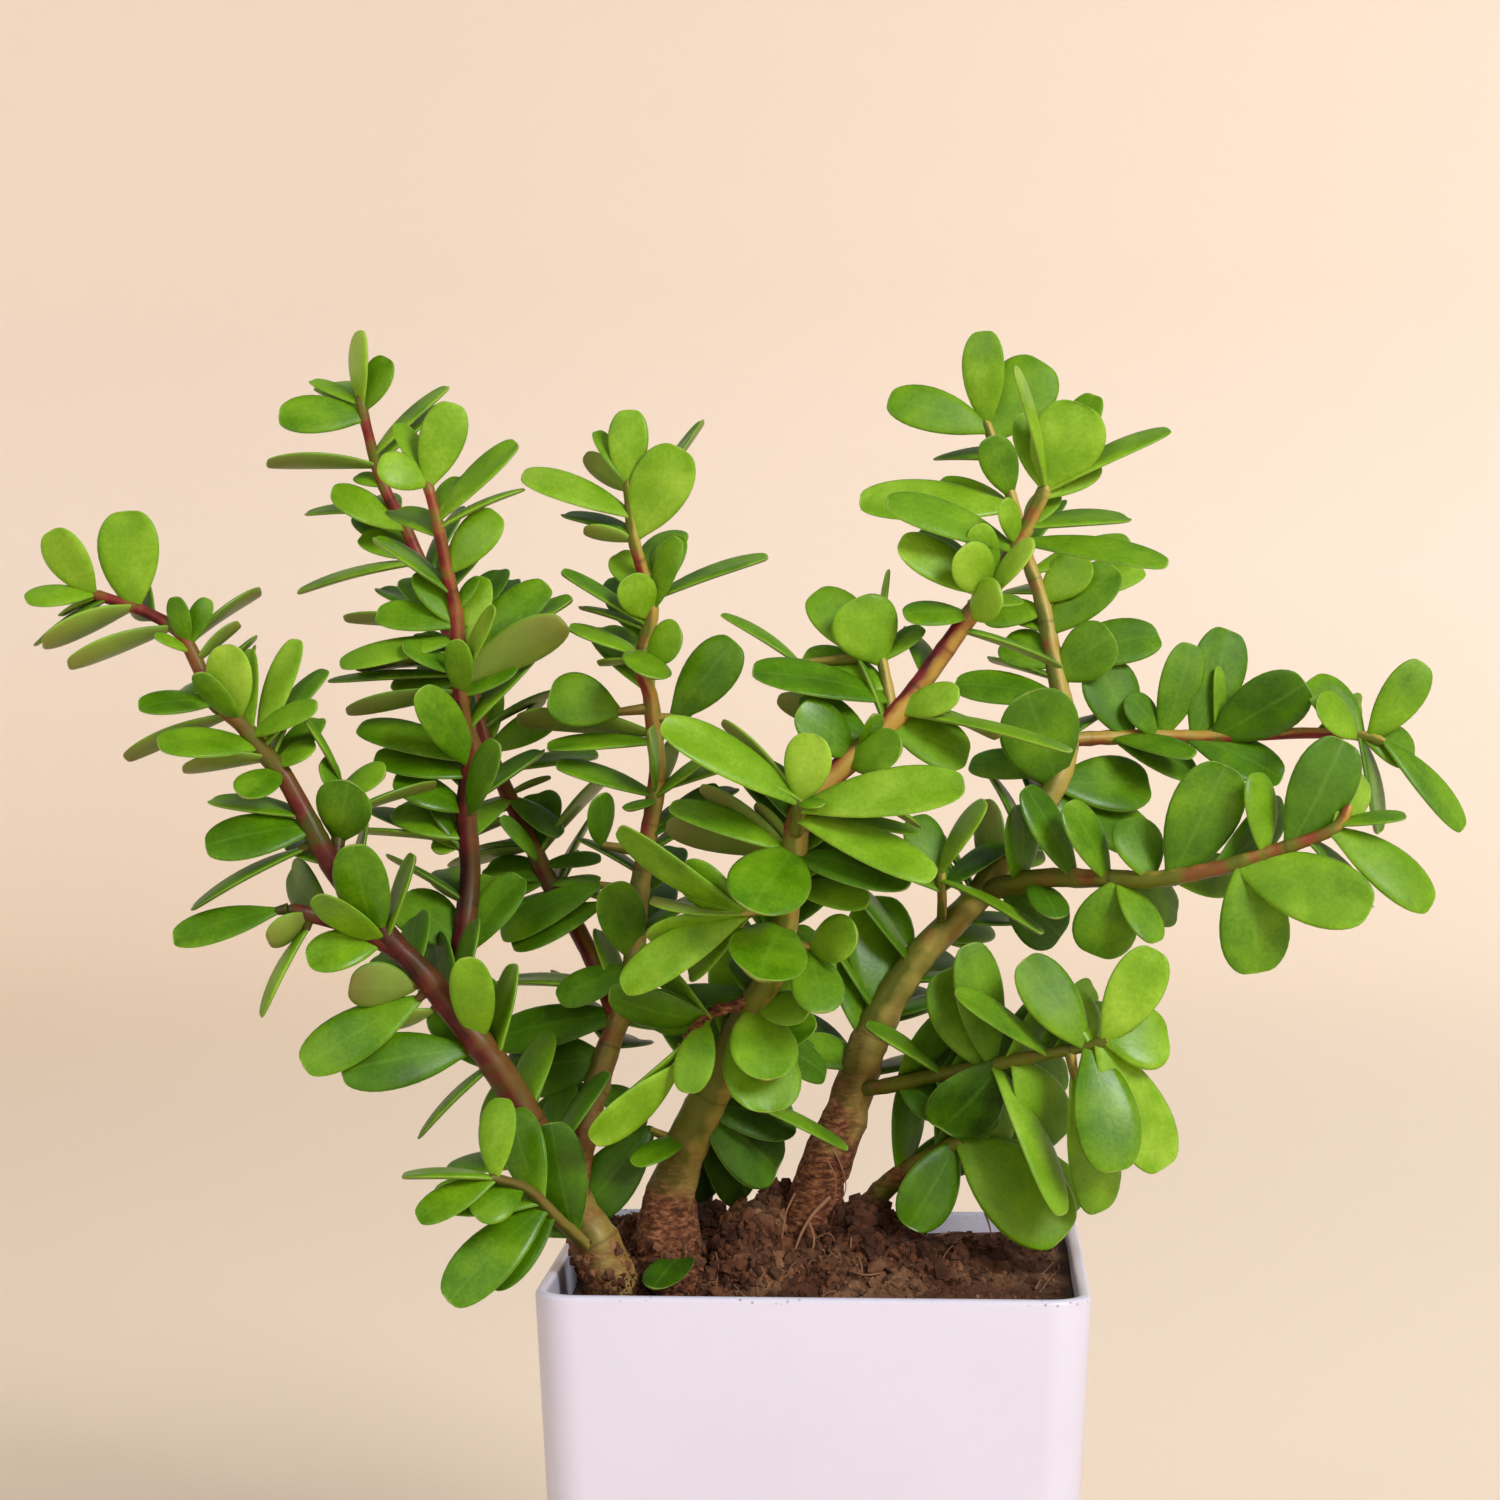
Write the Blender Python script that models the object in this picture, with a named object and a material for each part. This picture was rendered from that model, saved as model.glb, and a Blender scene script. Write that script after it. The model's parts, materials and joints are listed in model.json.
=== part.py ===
"""A bushy succulent with fleshy paddle leaves, in soil, in a square moulded pot.

Sizes below are in millimetres, and MM turns them into Blender's metres where a mesh is made.
The origin is the centre of the pot's flat base, +Z up, and the pot's front wall faces -Y.
"""

import itertools
import math
import random

import bmesh
import bpy
from mathutils import Matrix, Vector
from mathutils.bvhtree import BVHTree

MM = 0.001
GAP = 0.3

# Pot: a four inch square pot, with walls that lean in a little towards its foot.
POT_RIM_WIDTH = 100.0
POT_FOOT_WIDTH = 90.0
POT_HEIGHT = 100.0
POT_CORNER = 8.0
POT_WALL = 2.3
POT_FLOOR = 2.5
POT_FOOT_BEVEL = 1.2
POT_LIP_ROUND = 0.7
POT_CORNER_STEPS = 5

# Soil: level a few millimetres under the rim, higher on the right, with a mound round the stems.
SOIL_LEVEL = 94.0
SOIL_TILT = 2.2
SOIL_MOUNDS = (
    # across, depth, height, spread
    (2.0, 2.0, 10.0, 13.0),
    (-9.5, 4.0, 9.5, 4.6),
    (-13.0, -9.0, 8.5, 5.2),
    (9.0, -1.0, 5.5, 5.0),
    (22.0, -8.0, 2.5, 8.0),
    (36.0, 22.0, 2.0, 9.0),
)
SOIL_ROUGHNESS = 0.9
SOIL_RINGS = (1.0, 0.93, 0.8, 0.66, 0.53, 0.41, 0.3, 0.2, 0.1)
SOIL_SIDE_STEPS = 4
SOIL_CORNER_STEPS = 2

# Stems and leaves.
THIN_SIDES = 5
THICK_SIDES = 7
THICK_STEM = 4.6
STEM_STEP = 12.0
STEM_STEP_LEAST = 7.0
STEM_ROOT = 24.0
ROOT_TAPER = 0.93
STEM_FIT = 0.35
HOLE_REACH = 24.0
LEAF_THICK_BASE = 0.9
LEAF_THICK_SHARE = 0.11
LEAF_NECK = 0.15
LEAF_WIDEST = 0.62
LEAF_ARCH = 0.035
LEAF_NECK_THICK = 0.65
LEAF_SUNK = 1.0
LEAF_BLADE_FROM = 0.3
LARGE_RIM = (0.24, 0.54, 0.82, 0.98)
LARGE_RIDGE = (0.34, 0.7)
SMALL_RIM = (0.35, 0.75, 0.98)
SMALL_RIDGE = (0.45,)
LEAF_CLEAR = 0.45
SMALL_LEAF = 8.6
LARGE_LEAF = 12.5
STALK_LEAST = 2.2

# The plant's leaves are placed where a viewer at EYE sees them: a pixel of a 1500 pixel square
# picture and a depth, in millimetres behind the pot's middle, give one point in space.
EYE = Vector((25.5, -720.0, 222.4))
EYE_YAW = math.radians(3.1)
EYE_DIP = math.radians(2.13)
EYE_FOCAL_PX = 3800.0
EYE_CENTRE_PX = 750.0
EYE_AHEAD = Vector(
    (
        -math.sin(EYE_YAW) * math.cos(EYE_DIP),
        math.cos(EYE_YAW) * math.cos(EYE_DIP),
        -math.sin(EYE_DIP),
    )
)
EYE_RIGHT = Vector((math.cos(EYE_YAW), math.sin(EYE_YAW), 0.0))
EYE_UP = EYE_RIGHT.cross(EYE_AHEAD)

# Each shoot has its route, as (across, down, depth), its thicknesses in millimetres spaced evenly
# along it, and its leaves as (root across, root down, tip across, tip down, how far the tip
# reaches back from its root, leaf width, how far the upper face turns to the viewer in degrees).
LEFT_TRUNK = {
    "route": (
        (618, 1305, -25), (600, 1255, -25), (572, 1200, -26), (545, 1150, -28), (515, 1095, -30),
        (488, 1055, -32), (460, 1020, -33), (437, 990, -34), (399, 950, -36), (350, 926, -38),
        (312, 915, -40), (288, 909, -41),
    ),
    "thick": (11.5, 9.5, 6.8, 6.2, 5.6, 5.0, 4.4, 3.4, 2.6),
    "leaves": (
        (276, 911, 174, 947, 0, 9, 45), (310, 921, 268, 944, -3, 8, -40),
        (306, 930, 256, 1016, 0, 9, 12), (380, 944, 305, 958, -5, 9, 60),
        (380, 932, 351, 843, -4, 10.5, 75), (385, 941, 315, 892, -6, 8, 25),
        (387, 938, 420, 855, -3, 8, 20), (414, 987, 348, 985, -5, 10, -60),
        (417, 1000, 302, 1070, -4, 11, 65), (433, 1010, 390, 1027, 0, 6, -30),
        (466, 1050, 338, 1070, -6, 11.5, 70), (469, 1050, 470, 958, -10, 8.6, 80),
        (484, 1070, 415, 1136, 4, 8, 10), (500, 1080, 498, 1150, 3, 8, 40),
    ),
}
LEFT_OUTER = {
    "route": (
        (399, 950, -36), (360, 905, -38), (335, 870, -40), (318, 840, -41), (300, 805, -41),
        (283, 775, -41), (262, 750, -40), (240, 722, -39), (212, 700, -38), (198, 665, -37),
        (178, 631, -36), (138, 609, -35), (93, 594, -35),
    ),
    "thick": (4.8, 4.2, 3.8, 3.3, 2.8, 2.3, 2.0),
    "leaves": (
        (134, 607, 127, 509, 0, 12, 75), (92, 594, 49, 529, -5, 9, 60),
        (93, 595, 25, 598, -6, 8, 30), (98, 598, 62, 612, 8, 7, 10),
        (132, 610, 42, 646, -8, 9, -30), (170, 630, 68, 672, -6, 9, -25),
        (188, 645, 176, 596, 0, 5, 60), (190, 645, 208, 597, 0, 5, 60),
        (192, 650, 154, 636, -3, 4, 30), (199, 660, 241, 623, 3, 6, -20),
        (240, 715, 225, 643, -6, 9, 70), (250, 735, 252, 647, 0, 5, 50),
        (238, 720, 199, 671, -10, 6, 50), (262, 745, 299, 638, 6, 7, 50),
        (262, 748, 324, 665, 5, 9, 25), (214, 704, 137, 710, -3, 8, 35),
        (207, 690, 178, 692, 6, 6, 30), (228, 718, 125, 761, 4, 9, -20),
        (260, 746, 156, 743, -8, 10, 35), (268, 759, 180, 766, -3, 9, -40),
        (280, 770, 240, 797, -10, 8, 50), (275, 765, 317, 745, 0, 8, 30),
        (252, 735, 317, 702, -5, 7, 35), (283, 765, 321, 721, 4, 8, 40),
        (312, 828, 203, 846, -4, 11, 50), (300, 850, 187, 908, 2, 10, 10),
        (330, 865, 293, 841, 4, 9, 40),
    ),
}
LEFT_OUTER_TWIG = {
    "route": ((335, 870, -40), (338, 840, -37), (342, 805, -36), (341, 780, -36)),
    "thick": (2.8, 2.4, 1.9),
    "leaves": (
        (341, 782, 299, 718, 0, 7, 8), (341, 788, 320, 764, -4, 7, 40),
        (342, 788, 386, 775, -4, 8, 40), (340, 840, 352, 778, -7, 11, 80),
    ),
}
LEFT_FRONT = {
    "route": (
        (478, 1042, -32), (464, 1000, -25), (460, 960, -20), (466, 920, -18), (470, 870, -16),
        (466, 800, -16), (474, 752, -17), (463, 719, -18), (458, 650, -20), (456, 613, -20),
        (448, 574, -21), (436, 516, -22), (427, 482, -22),
    ),
    "thick": (4.4, 4.4, 4.2, 3.8, 3.3, 2.8, 2.4, 2.0),
    "leaves": (
        (430, 485, 453, 401, 0, 9, 85), (427, 484, 378, 462, -4, 8, 60),
        (426, 480, 398, 420, 2, 6, 50), (438, 520, 520, 443, 0, 9, 30),
        (436, 515, 458, 476, 5, 6, 40), (440, 528, 523, 483, 5, 8, 5),
        (447, 572, 499, 512, 0, 9, 60), (454, 625, 416, 572, -4, 7.5, 60),
        (454, 625, 375, 612, 0, 8, 50), (455, 630, 344, 619, 4, 7, -20),
        (456, 640, 338, 668, -3, 9, 30), (457, 655, 352, 670, 4, 9, -20),
        (458, 675, 325, 686, 5, 8, 10), (459, 683, 391, 683, 0, 8, 40),
        (460, 692, 342, 702, 3, 8, -25), (459, 665, 485, 575, -4, 8, 60),
        (460, 680, 498, 607, -6, 7, 25), (459, 660, 548, 581, 3, 9, 60),
        (460, 668, 577, 601, 1, 9, 20), (460, 682, 567, 622, -2, 10, -60),
        (455, 612, 478, 578, 2, 4, 40), (459, 672, 400, 647, -6, 7, 35),
        (460, 695, 459, 640, -9, 6, 70), (460, 695, 518, 664, -2, 8, 35),
        (470, 765, 420, 685, -6, 8.5, 70), (472, 760, 358, 722, 3, 10, 40),
        (472, 755, 448, 702, 3, 6, 60), (469, 775, 372, 760, 0, 9, 40),
        (466, 810, 392, 780, -3, 9, 45), (467, 815, 500, 742, -5, 8, 45),
        (467, 838, 392, 815, 2, 9, 40), (468, 842, 338, 835, 3, 8, -20),
        (462, 945, 400, 900, 5, 12, 60), (466, 920, 400, 940, 7, 12, 60),
        (463, 955, 505, 865, 4, 10, 50), (461, 965, 420, 985, 6, 9, 40),
    ),
}
LEFT_BACK = {
    "route": (
        (618, 1020, -15), (600, 975, -9), (575, 925, -4), (548, 880, 0), (528, 835, 4),
        (508, 795, 7), (487, 745, 10), (473, 695, 12), (455, 650, 14), (437, 605, 15),
        (420, 562, 15), (403, 522, 15), (390, 500, 14), (378, 470, 14), (366, 425, 13),
        (360, 395, 13),
    ),
    "thick": (3.8, 3.6, 3.3, 3.0, 2.8, 2.6, 2.3, 2.0),
    "leaves": (
        (361, 405, 359, 329, 0, 9, 25), (362, 410, 392, 359, 0, 8, 50),
        (364, 418, 277, 413, -3, 9, 60), (362, 405, 312, 383, 6, 5, 30),
        (376, 466, 264, 466, -4, 9, -20), (384, 486, 355, 475, 3, 5, 40),
        (405, 528, 329, 494, -6, 10, 40), (398, 512, 304, 509, 6, 6, 20),
        (418, 558, 360, 538, 3, 7, 50), (420, 562, 294, 588, 0, 9, 10),
        (373, 455, 450, 386, 6, 9, 15), (487, 748, 490, 690, 4, 8, 60),
        (488, 750, 558, 715, 0, 9, 45), (498, 770, 601, 759, 2, 8, 20),
        (508, 795, 551, 775, 2, 4, -15), (508, 797, 561, 838, -5, 8, 35),
        (540, 862, 500, 818, -4, 6, 30), (543, 866, 602, 856, 0, 6, 30),
        (550, 884, 600, 884, -4, 8, 15), (546, 880, 484, 905, 4, 9, 25),
        (546, 878, 487, 868, 6, 9, 40), (538, 855, 540, 795, 4, 11, 70),
        (508, 800, 436, 848, -24, 8, 40),
    ),
}
LEFT_INNER = {
    "route": (
        (572, 1200, -26), (585, 1133, -20), (599, 1078, -17), (611, 1040, -15), (621, 1010, -14),
        (635, 955, -12), (638, 900, -11), (648, 840, -10), (657, 780, -10), (655, 740, -10),
        (650, 695, -11), (642, 671, -12), (645, 640, -12), (652, 610, -13), (642, 569, -14),
        (633, 535, -15), (628, 480, -16),
    ),
    "thick": (5.2, 5.0, 4.4, 4.0, 3.6, 3.2, 2.8, 2.4, 2.0),
    "leaves": (
        (628, 488, 628, 408, 0, 8, 80), (627, 485, 594, 430, 0, 5, 50),
        (629, 490, 581, 457, 5, 6, -50), (633, 537, 681, 445, -3, 12, 80),
        (632, 530, 709, 423, 6, 8, 10), (631, 515, 520, 473, -2, 10, 35),
        (634, 540, 582, 532, 0, 6, -30), (650, 600, 770, 554, 0, 9, 15),
        (650, 610, 678, 537, -4, 7, 45), (649, 600, 682, 534, 3, 7, 60),
        (647, 592, 615, 556, 2, 7, 70), (650, 618, 628, 575, -6, 8, 80),
        (648, 625, 557, 575, -2, 7, 20), (647, 630, 579, 604, 5, 6, 10),
        (643, 655, 566, 632, -2, 8, 20), (642, 660, 598, 667, 2, 6, -10),
        (643, 655, 684, 635, -5, 9, 60), (643, 652, 645, 679, -14, 10, 70),
        (674, 717, 739, 642, 0, 11, 70), (618, 712, 548, 693, 0, 11, 75),
        (650, 735, 516, 713, 6, 9, -30), (655, 742, 545, 751, -2, 9, 20),
        (657, 792, 645, 730, -5, 7, 15), (656, 795, 678, 740, 4, 6, -40),
        (655, 795, 553, 769, -2, 9, 25), (656, 797, 706, 762, -5, 8, 15),
        (655, 800, 628, 812, -5, 6, 20), (602, 845, 597, 794, -5, 8, 45),
        (600, 885, 500, 938, 2, 10, 40), (600, 905, 512, 950, 0, 10, 40),
        (634, 958, 611, 881, -5, 10, 70), (630, 968, 556, 1000, -4, 9, 50),
        (624, 992, 496, 976, 0, 9, 15), (618, 1015, 488, 1040, 0, 11, 50),
        (605, 1060, 512, 1070, 6, 13, 70), (598, 1085, 525, 1144, 3, 10, 60),
        (617, 1020, 694, 1020, 6, 9, 40), (597, 1090, 650, 1120, 5, 9, 50),
    ),
}
LEFT_FOOT = {
    "route": ((600, 1262, -25), (580, 1240, -30), (556, 1218, -36), (528, 1190, -41), (490, 1177, -46)),
    "thick": (3.0, 2.8, 2.2, 1.8),
    "leaves": (
        (492, 1178, 400, 1175, 0, 8, 12), (494, 1180, 417, 1222, -3, 8, 50),
        (522, 1186, 474, 1214, -7, 8, 65), (545, 1207, 443, 1300, -9, 11, 70),
        (552, 1214, 490, 1290, -5, 10, 55), (495, 1178, 498, 1096, 2, 8, 60),
    ),
}
MIDDLE_MAIN = {
    "route": (
        (668, 1238, -15), (670, 1200, -15), (681, 1160, -16), (700, 1115, -18), (718, 1080, -20),
        (738, 1035, -26), (757, 1003, -30), (772, 970, -34), (785, 920, -38), (793, 860, -42),
        (800, 815, -43), (818, 790, -42), (850, 760, -40), (885, 728, -38), (917, 689, -36),
        (945, 650, -35), (970, 615, -34), (993, 587, -34), (1019, 542, -34), (1047, 485, -35),
    ),
    "thick": (12.0, 8.6, 7.3, 6.8, 6.0, 5.2, 4.8, 4.6, 4.4, 4.0, 3.8, 3.4, 3.0, 2.6),
    "leaves": (
        (1047, 490, 1083, 402, -3, 14, 80), (1045, 489, 1020, 412, -1, 8, 60),
        (1046, 487, 1012, 366, -5, 7, 15), (1047, 487, 1100, 395, 6, 8, 60),
        (1044, 492, 1171, 424, 3, 8, 25), (1042, 497, 1095, 460, 7, 9, 60),
        (1016, 550, 888, 494, -9, 10, 40), (1019, 545, 1003, 500, -3, 5, 60),
        (990, 592, 897, 543, -5, 9, 60), (993, 588, 921, 527, 0, 6, 40),
        (992, 589, 972, 524, -3, 7, 70), (989, 593, 962, 550, -10, 9, 75),
        (986, 597, 1035, 543, -7, 8, 30), (970, 616, 903, 613, -5, 8, 35),
        (971, 615, 998, 590, -7, 8, 60), (978, 604, 1022, 600, 4, 5, 30),
        (1026, 528, 1055, 492, 5, 6, 60), (1020, 542, 1171, 562, -6, 9, 30),
        (898, 712, 1076, 750, -10, 9, 10), (900, 710, 958, 694, -4, 7, 60),
        (888, 724, 968, 760, 3, 12, 50), (870, 742, 800, 695, 3, 8, 50),
        (872, 740, 777, 698, 6, 7, -30), (855, 756, 797, 708, -4, 10, 60),
        (863, 748, 876, 714, 0, 5, 50), (848, 762, 902, 745, -6, 9, 60),
        (794, 855, 910, 889, -8, 11, 40), (795, 850, 752, 913, -18, 15, 80),
        (794, 852, 668, 803, 0, 9, 35), (794, 856, 701, 786, 6, 7, -30),
        (795, 850, 664, 832, 4, 9, -50), (796, 845, 752, 806, 3, 5, -30),
        (790, 885, 870, 905, -3, 8, 45), (784, 925, 752, 981, -18, 15, 80),
        (810, 948, 857, 932, -10, 9, 75), (810, 951, 823, 1011, -12, 10, 75),
        (757, 1002, 740, 958, -3, 9, 60), (757, 1002, 808, 1012, -6, 8, 60),
        (755, 1006, 770, 1080, -13, 13, 75), (750, 1015, 765, 1117, -9, 15, 75),
        (702, 1110, 775, 1170, 9, 16, 60), (714, 1088, 853, 1147, 2, 7, 20),
        (650, 1130, 560, 1200, -4, 11, 65), (692, 1135, 632, 1168, -9, 6, 50),
        (669, 1215, 655, 1290, -14, 10, 70), (760, 998, 646, 1000, 5, 9, 30),
        (742, 1028, 830, 1075, 6, 9, 50),
    ),
}
MIDDLE_SPROUT = {
    "route": ((794, 850, -42), (797, 825, -45), (800, 798, -47)),
    "thick": (2.8, 2.4),
    "leaves": (
        (799, 802, 657, 722, -6, 10, 50), (799, 800, 717, 722, 6, 7, -20),
        (800, 799, 706, 722, 2, 8, 10), (799, 803, 823, 806, -6, 4, 30),
        (800, 801, 816, 733, -4, 9, 80), (799, 808, 968, 787, -8, 11, 55),
        (798, 818, 938, 875, -8, 10, 45), (798, 820, 923, 826, 3, 7, 20),
    ),
}
MIDDLE_TWIG = {
    "route": ((893, 718, -37), (887, 685, -35), (881, 655, -34)),
    "thick": (2.4, 2.2, 1.9),
    "leaves": (
        (881, 660, 812, 592, 3, 11, 60), (882, 662, 852, 598, -4, 13, 80),
        (881, 656, 891, 568, 0, 4, 15), (882, 660, 922, 625, 2, 6, 40),
        (886, 688, 800, 660, 3, 10, 50), (888, 700, 751, 670, -7, 10, 40),
        (800, 664, 723, 609, 2, 7, 15),
    ),
}
MIDDLE_DRY_TWIG = {
    "route": ((757, 1003, -30), (728, 1006, -33), (704, 1019, -35), (684, 1045, -36)),
    "thick": (2.4, 2.1, 1.8),
    "leaves": (
        (704, 1019, 690, 1095, -4, 8, 70), (679, 1066, 588, 1141, -5, 9, 50),
        (684, 1045, 616, 1105, 2, 7, 15),
    ),
}
MIDDLE_LOW_TWIG = {
    "route": ((788, 900, -39), (764, 908, -43), (740, 915, -46)),
    "thick": (2.4, 2.0),
    "leaves": (
        (742, 914, 680, 865, 0, 9, 60), (744, 913, 616, 826, -4, 9, 35),
        (742, 916, 650, 896, 5, 8, 10), (743, 916, 650, 940, 7, 10, 50),
        (746, 915, 619, 989, 0, 10, 55), (750, 914, 688, 975, 4, 9, 40),
    ),
}
RIGHT_MAIN = {
    "route": (
        (808, 1225, 0), (813, 1200, 0), (822, 1175, 0), (838, 1135, 1), (852, 1095, 2),
        (866, 1050, 3), (890, 1000, 4), (921, 955, 5), (950, 925, 6), (975, 900, 7),
        (1000, 865, 8), (1025, 828, 10), (1055, 785, 12), (1068, 740, 15), (1060, 690, 18),
        (1050, 640, 21), (1042, 600, 23), (1028, 560, 25), (1015, 510, 27), (1000, 460, 28),
        (985, 420, 29),
    ),
    "thick": (11.0, 9.8, 8.2, 7.0, 6.4, 5.8, 5.4, 5.0, 4.4, 3.8, 3.2, 2.6, 2.2, 2.0),
    "leaves": (
        (987, 425, 981, 329, 0, 9, 75), (988, 430, 888, 394, -2, 10, 65),
        (990, 438, 1044, 361, 4, 14, 80), (1010, 495, 990, 434, -5, 8, 80),
        (1014, 508, 856, 504, -3, 12, 45), (1014, 512, 937, 482, 3, 8, 35),
        (1032, 572, 1132, 540, 4, 9, 30), (1042, 600, 1090, 558, -2, 10, 60),
        (1043, 605, 1147, 568, 5, 8, 50), (1048, 632, 1118, 567, 2, 11, 80),
        (1046, 620, 1072, 595, 3, 7, 50), (1044, 612, 983, 615, 4, 8, 50),
        (1057, 677, 1115, 635, -3, 12, 70), (1054, 660, 1160, 632, 5, 11, 60),
        (1054, 665, 1003, 640, 5, 10, 60), (1062, 700, 953, 684, 5, 9, 50),
        (1056, 784, 1025, 690, -9, 17, 75), (1060, 770, 968, 765, 5, 10, 40),
        (1056, 785, 1150, 790, 9, 13, 60), (1045, 800, 1160, 840, 9, 12, 60),
        (992, 878, 1005, 800, 4, 9, -40), (880, 1018, 903, 895, 7, 15, 70),
        (868, 1045, 850, 955, 4, 9, 50), (862, 1065, 800, 1045, 0, 9, 50),
    ),
}
RIGHT_TWIG = {
    "route": ((941, 934, 6), (942, 900, 2), (940, 868, 0)),
    "thick": (2.2, 1.8),
    "leaves": ((941, 880, 1046, 930, -10, 8, 10), (940, 872, 983, 798, -3, 9, 25)),
}
RIGHT_SIDE = {
    "route": (
        (985, 892, 7), (1008, 886, 2), (1048, 878, -4), (1112, 879, -10), (1159, 879, -14),
        (1223, 867, -18), (1271, 852, -20), (1332, 830, -22), (1350, 805, -22),
    ),
    "thick": (4.4, 3.8, 3.4, 3.0, 2.6, 2.0),
    "leaves": (
        (1018, 884, 1022, 803, -4, 10, 45), (1032, 881, 1058, 919, -10, 8, 50),
        (1075, 878, 1020, 788, -1, 9, 50), (1108, 879, 1066, 802, -3, 9, 50),
        (1150, 879, 1128, 818, 4, 11, 60), (1172, 876, 1225, 762, 0, 14, 80),
        (1264, 853, 1256, 771, 0, 8, 50), (1290, 845, 1345, 738, -3, 13, 75),
        (1335, 828, 1368, 780, 3, 7, 40), (1338, 826, 1408, 818, 0, 7, 20),
        (1332, 830, 1435, 904, 2, 11, 55), (1238, 862, 1372, 915, -9, 14, 75),
        (1245, 860, 1261, 975, 0, 14, 75), (1125, 880, 1090, 955, 2, 13, 75),
        (1118, 879, 1156, 943, -6, 8, 50), (1005, 887, 1062, 938, 4, 13, 70),
    ),
}
RIGHT_UPPER = {
    "route": (
        (1068, 740, 15), (1100, 738, 17), (1150, 736, 19), (1200, 737, 20), (1250, 735, 20),
        (1310, 733, 19), (1355, 735, 17), (1385, 742, 15),
    ),
    "thick": (3.0, 2.7, 2.4, 1.9),
    "leaves": (
        (1128, 737, 1095, 662, 2, 13, 60), (1160, 736, 1128, 695, -2, 8, 50),
        (1162, 736, 1193, 642, 0, 9, 70), (1195, 737, 1228, 628, 5, 12, 70),
        (1216, 736, 1221, 665, 0, 4, 40), (1214, 736, 1306, 679, -4, 13, 75),
        (1362, 737, 1312, 676, 3, 9, 60), (1358, 736, 1315, 700, -3, 9, 50),
        (1370, 738, 1426, 662, -1, 9, 75), (1364, 738, 1417, 752, -3, 10, 60),
        (1385, 742, 1468, 828, 1, 8, 45), (1188, 737, 1284, 780, -4, 11, 50),
        (1112, 738, 1197, 752, -4, 9, 25), (1114, 738, 1195, 778, 4, 10, 40),
    ),
}
RIGHT_LOWER = {
    "route": (
        (858, 1088, 2), (880, 1087, -3), (936, 1075, -8), (995, 1064, -13), (1046, 1054, -17),
        (1085, 1047, -20), (1108, 1040, -22),
    ),
    "thick": (3.2, 2.8, 2.4, 2.0),
    "leaves": (
        (985, 1066, 940, 970, 3, 14, 70), (992, 1064, 964, 942, -3, 11, 60),
        (1048, 1054, 953, 994, -7, 9, 30), (1087, 1046, 1018, 961, 0, 11, 70),
        (1092, 1045, 1075, 987, 4, 8, 50), (1105, 1041, 1156, 947, 0, 11, 75),
        (1106, 1041, 1170, 1040, 4, 13, 70), (1090, 1046, 1120, 1174, -6, 13, 75),
        (1100, 1043, 1160, 1172, 4, 13, 65), (994, 1064, 1069, 1216, -8, 10, 35),
        (1015, 1060, 1060, 1140, 3, 12, 60), (1075, 1080, 1108, 1216, 5, 12, 60),
        (942, 1074, 865, 1023, -5, 8, 20), (900, 1083, 945, 1115, 0, 10, 50),
        (1000, 1063, 940, 1128, 5, 15, 60),
    ),
}
LOW_MAIN = {
    "route": ((868, 1207, 5), (885, 1187, 3), (905, 1172, 0), (930, 1157, -3), (962, 1140, -6)),
    "thick": (4.6, 4.2, 3.6, 2.8),
    "leaves": (
        (955, 1145, 905, 1228, -4, 12, 70), (962, 1141, 1070, 1235, -5, 17, 75),
        (960, 1141, 1085, 1200, 6, 12, 60), (955, 1145, 1010, 1112, 5, 12, 60),
    ),
}
PLANTS = {
    "leafy_stem_left": (
        LEFT_TRUNK, LEFT_OUTER, LEFT_OUTER_TWIG, LEFT_FRONT, LEFT_BACK, LEFT_INNER, LEFT_FOOT,
    ),
    "leafy_stem_middle": (
        MIDDLE_MAIN, MIDDLE_SPROUT, MIDDLE_TWIG, MIDDLE_DRY_TWIG, MIDDLE_LOW_TWIG,
    ),
    "leafy_stem_right": (RIGHT_MAIN, RIGHT_TWIG, RIGHT_SIDE, RIGHT_UPPER, RIGHT_LOWER),
    "leafy_stem_low": (LOW_MAIN,),
}

# Leaves on the far side follow a rule: pairs up each shoot, turned by a seeded draw.
FAR_SEED = 11
FAR_SPACING = 10.0
FAR_BARE = 30.0
FAR_TURNS = (-62.0, -22.0, 22.0, 62.0)
FAR_LEAN = (48.0, 76.0)
FAR_LENGTH = (16.0, 22.0)
FAR_SHAPE = 0.5

NEARLY_FLAT = 3.0

# How a leaf that would cross another piece is bent clear, gentlest first.
TRY_REACH = (0, 3, -3, 6, -6, 10, -10, 15, -15)
TRY_TURN = (0, 20, -20, 40, -40)
TRY_SWING = (0, 6, -6, 13, -13)
TRY_LENGTH = (1.0, 0.88, 0.76)
TRY_MOST = 260
TRY_COSTS = (0.33, 0.05, 0.22, 18.0)


def sight(across, down, depth):
    """The point at this depth behind the pot's middle that the viewer sees at this pixel."""
    ray = (
        EYE_AHEAD * EYE_FOCAL_PX
        + EYE_RIGHT * (across - EYE_CENTRE_PX)
        - EYE_UP * (down - EYE_CENTRE_PX)
    )
    return EYE + ray * ((depth - EYE.y) / ray.y)


def mesh_object(name, points, faces):
    mesh = bpy.data.meshes.new(name)
    mesh.from_pydata([point * MM for point in points], [], faces)
    mesh.validate()
    thing = bpy.data.objects.new(name, mesh)
    bpy.context.scene.collection.objects.link(thing)
    return thing


def finish_material(thing, name, colour, roughness):
    material = bpy.data.materials.new(name)
    material.use_nodes = True
    shader = material.node_tree.nodes["Principled BSDF"]
    shader.inputs["Base Color"].default_value = (*colour, 1.0)
    shader.inputs["Roughness"].default_value = roughness
    shader.inputs["Metallic"].default_value = 0.0
    thing.data.materials.clear()
    thing.data.materials.append(material)


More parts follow.
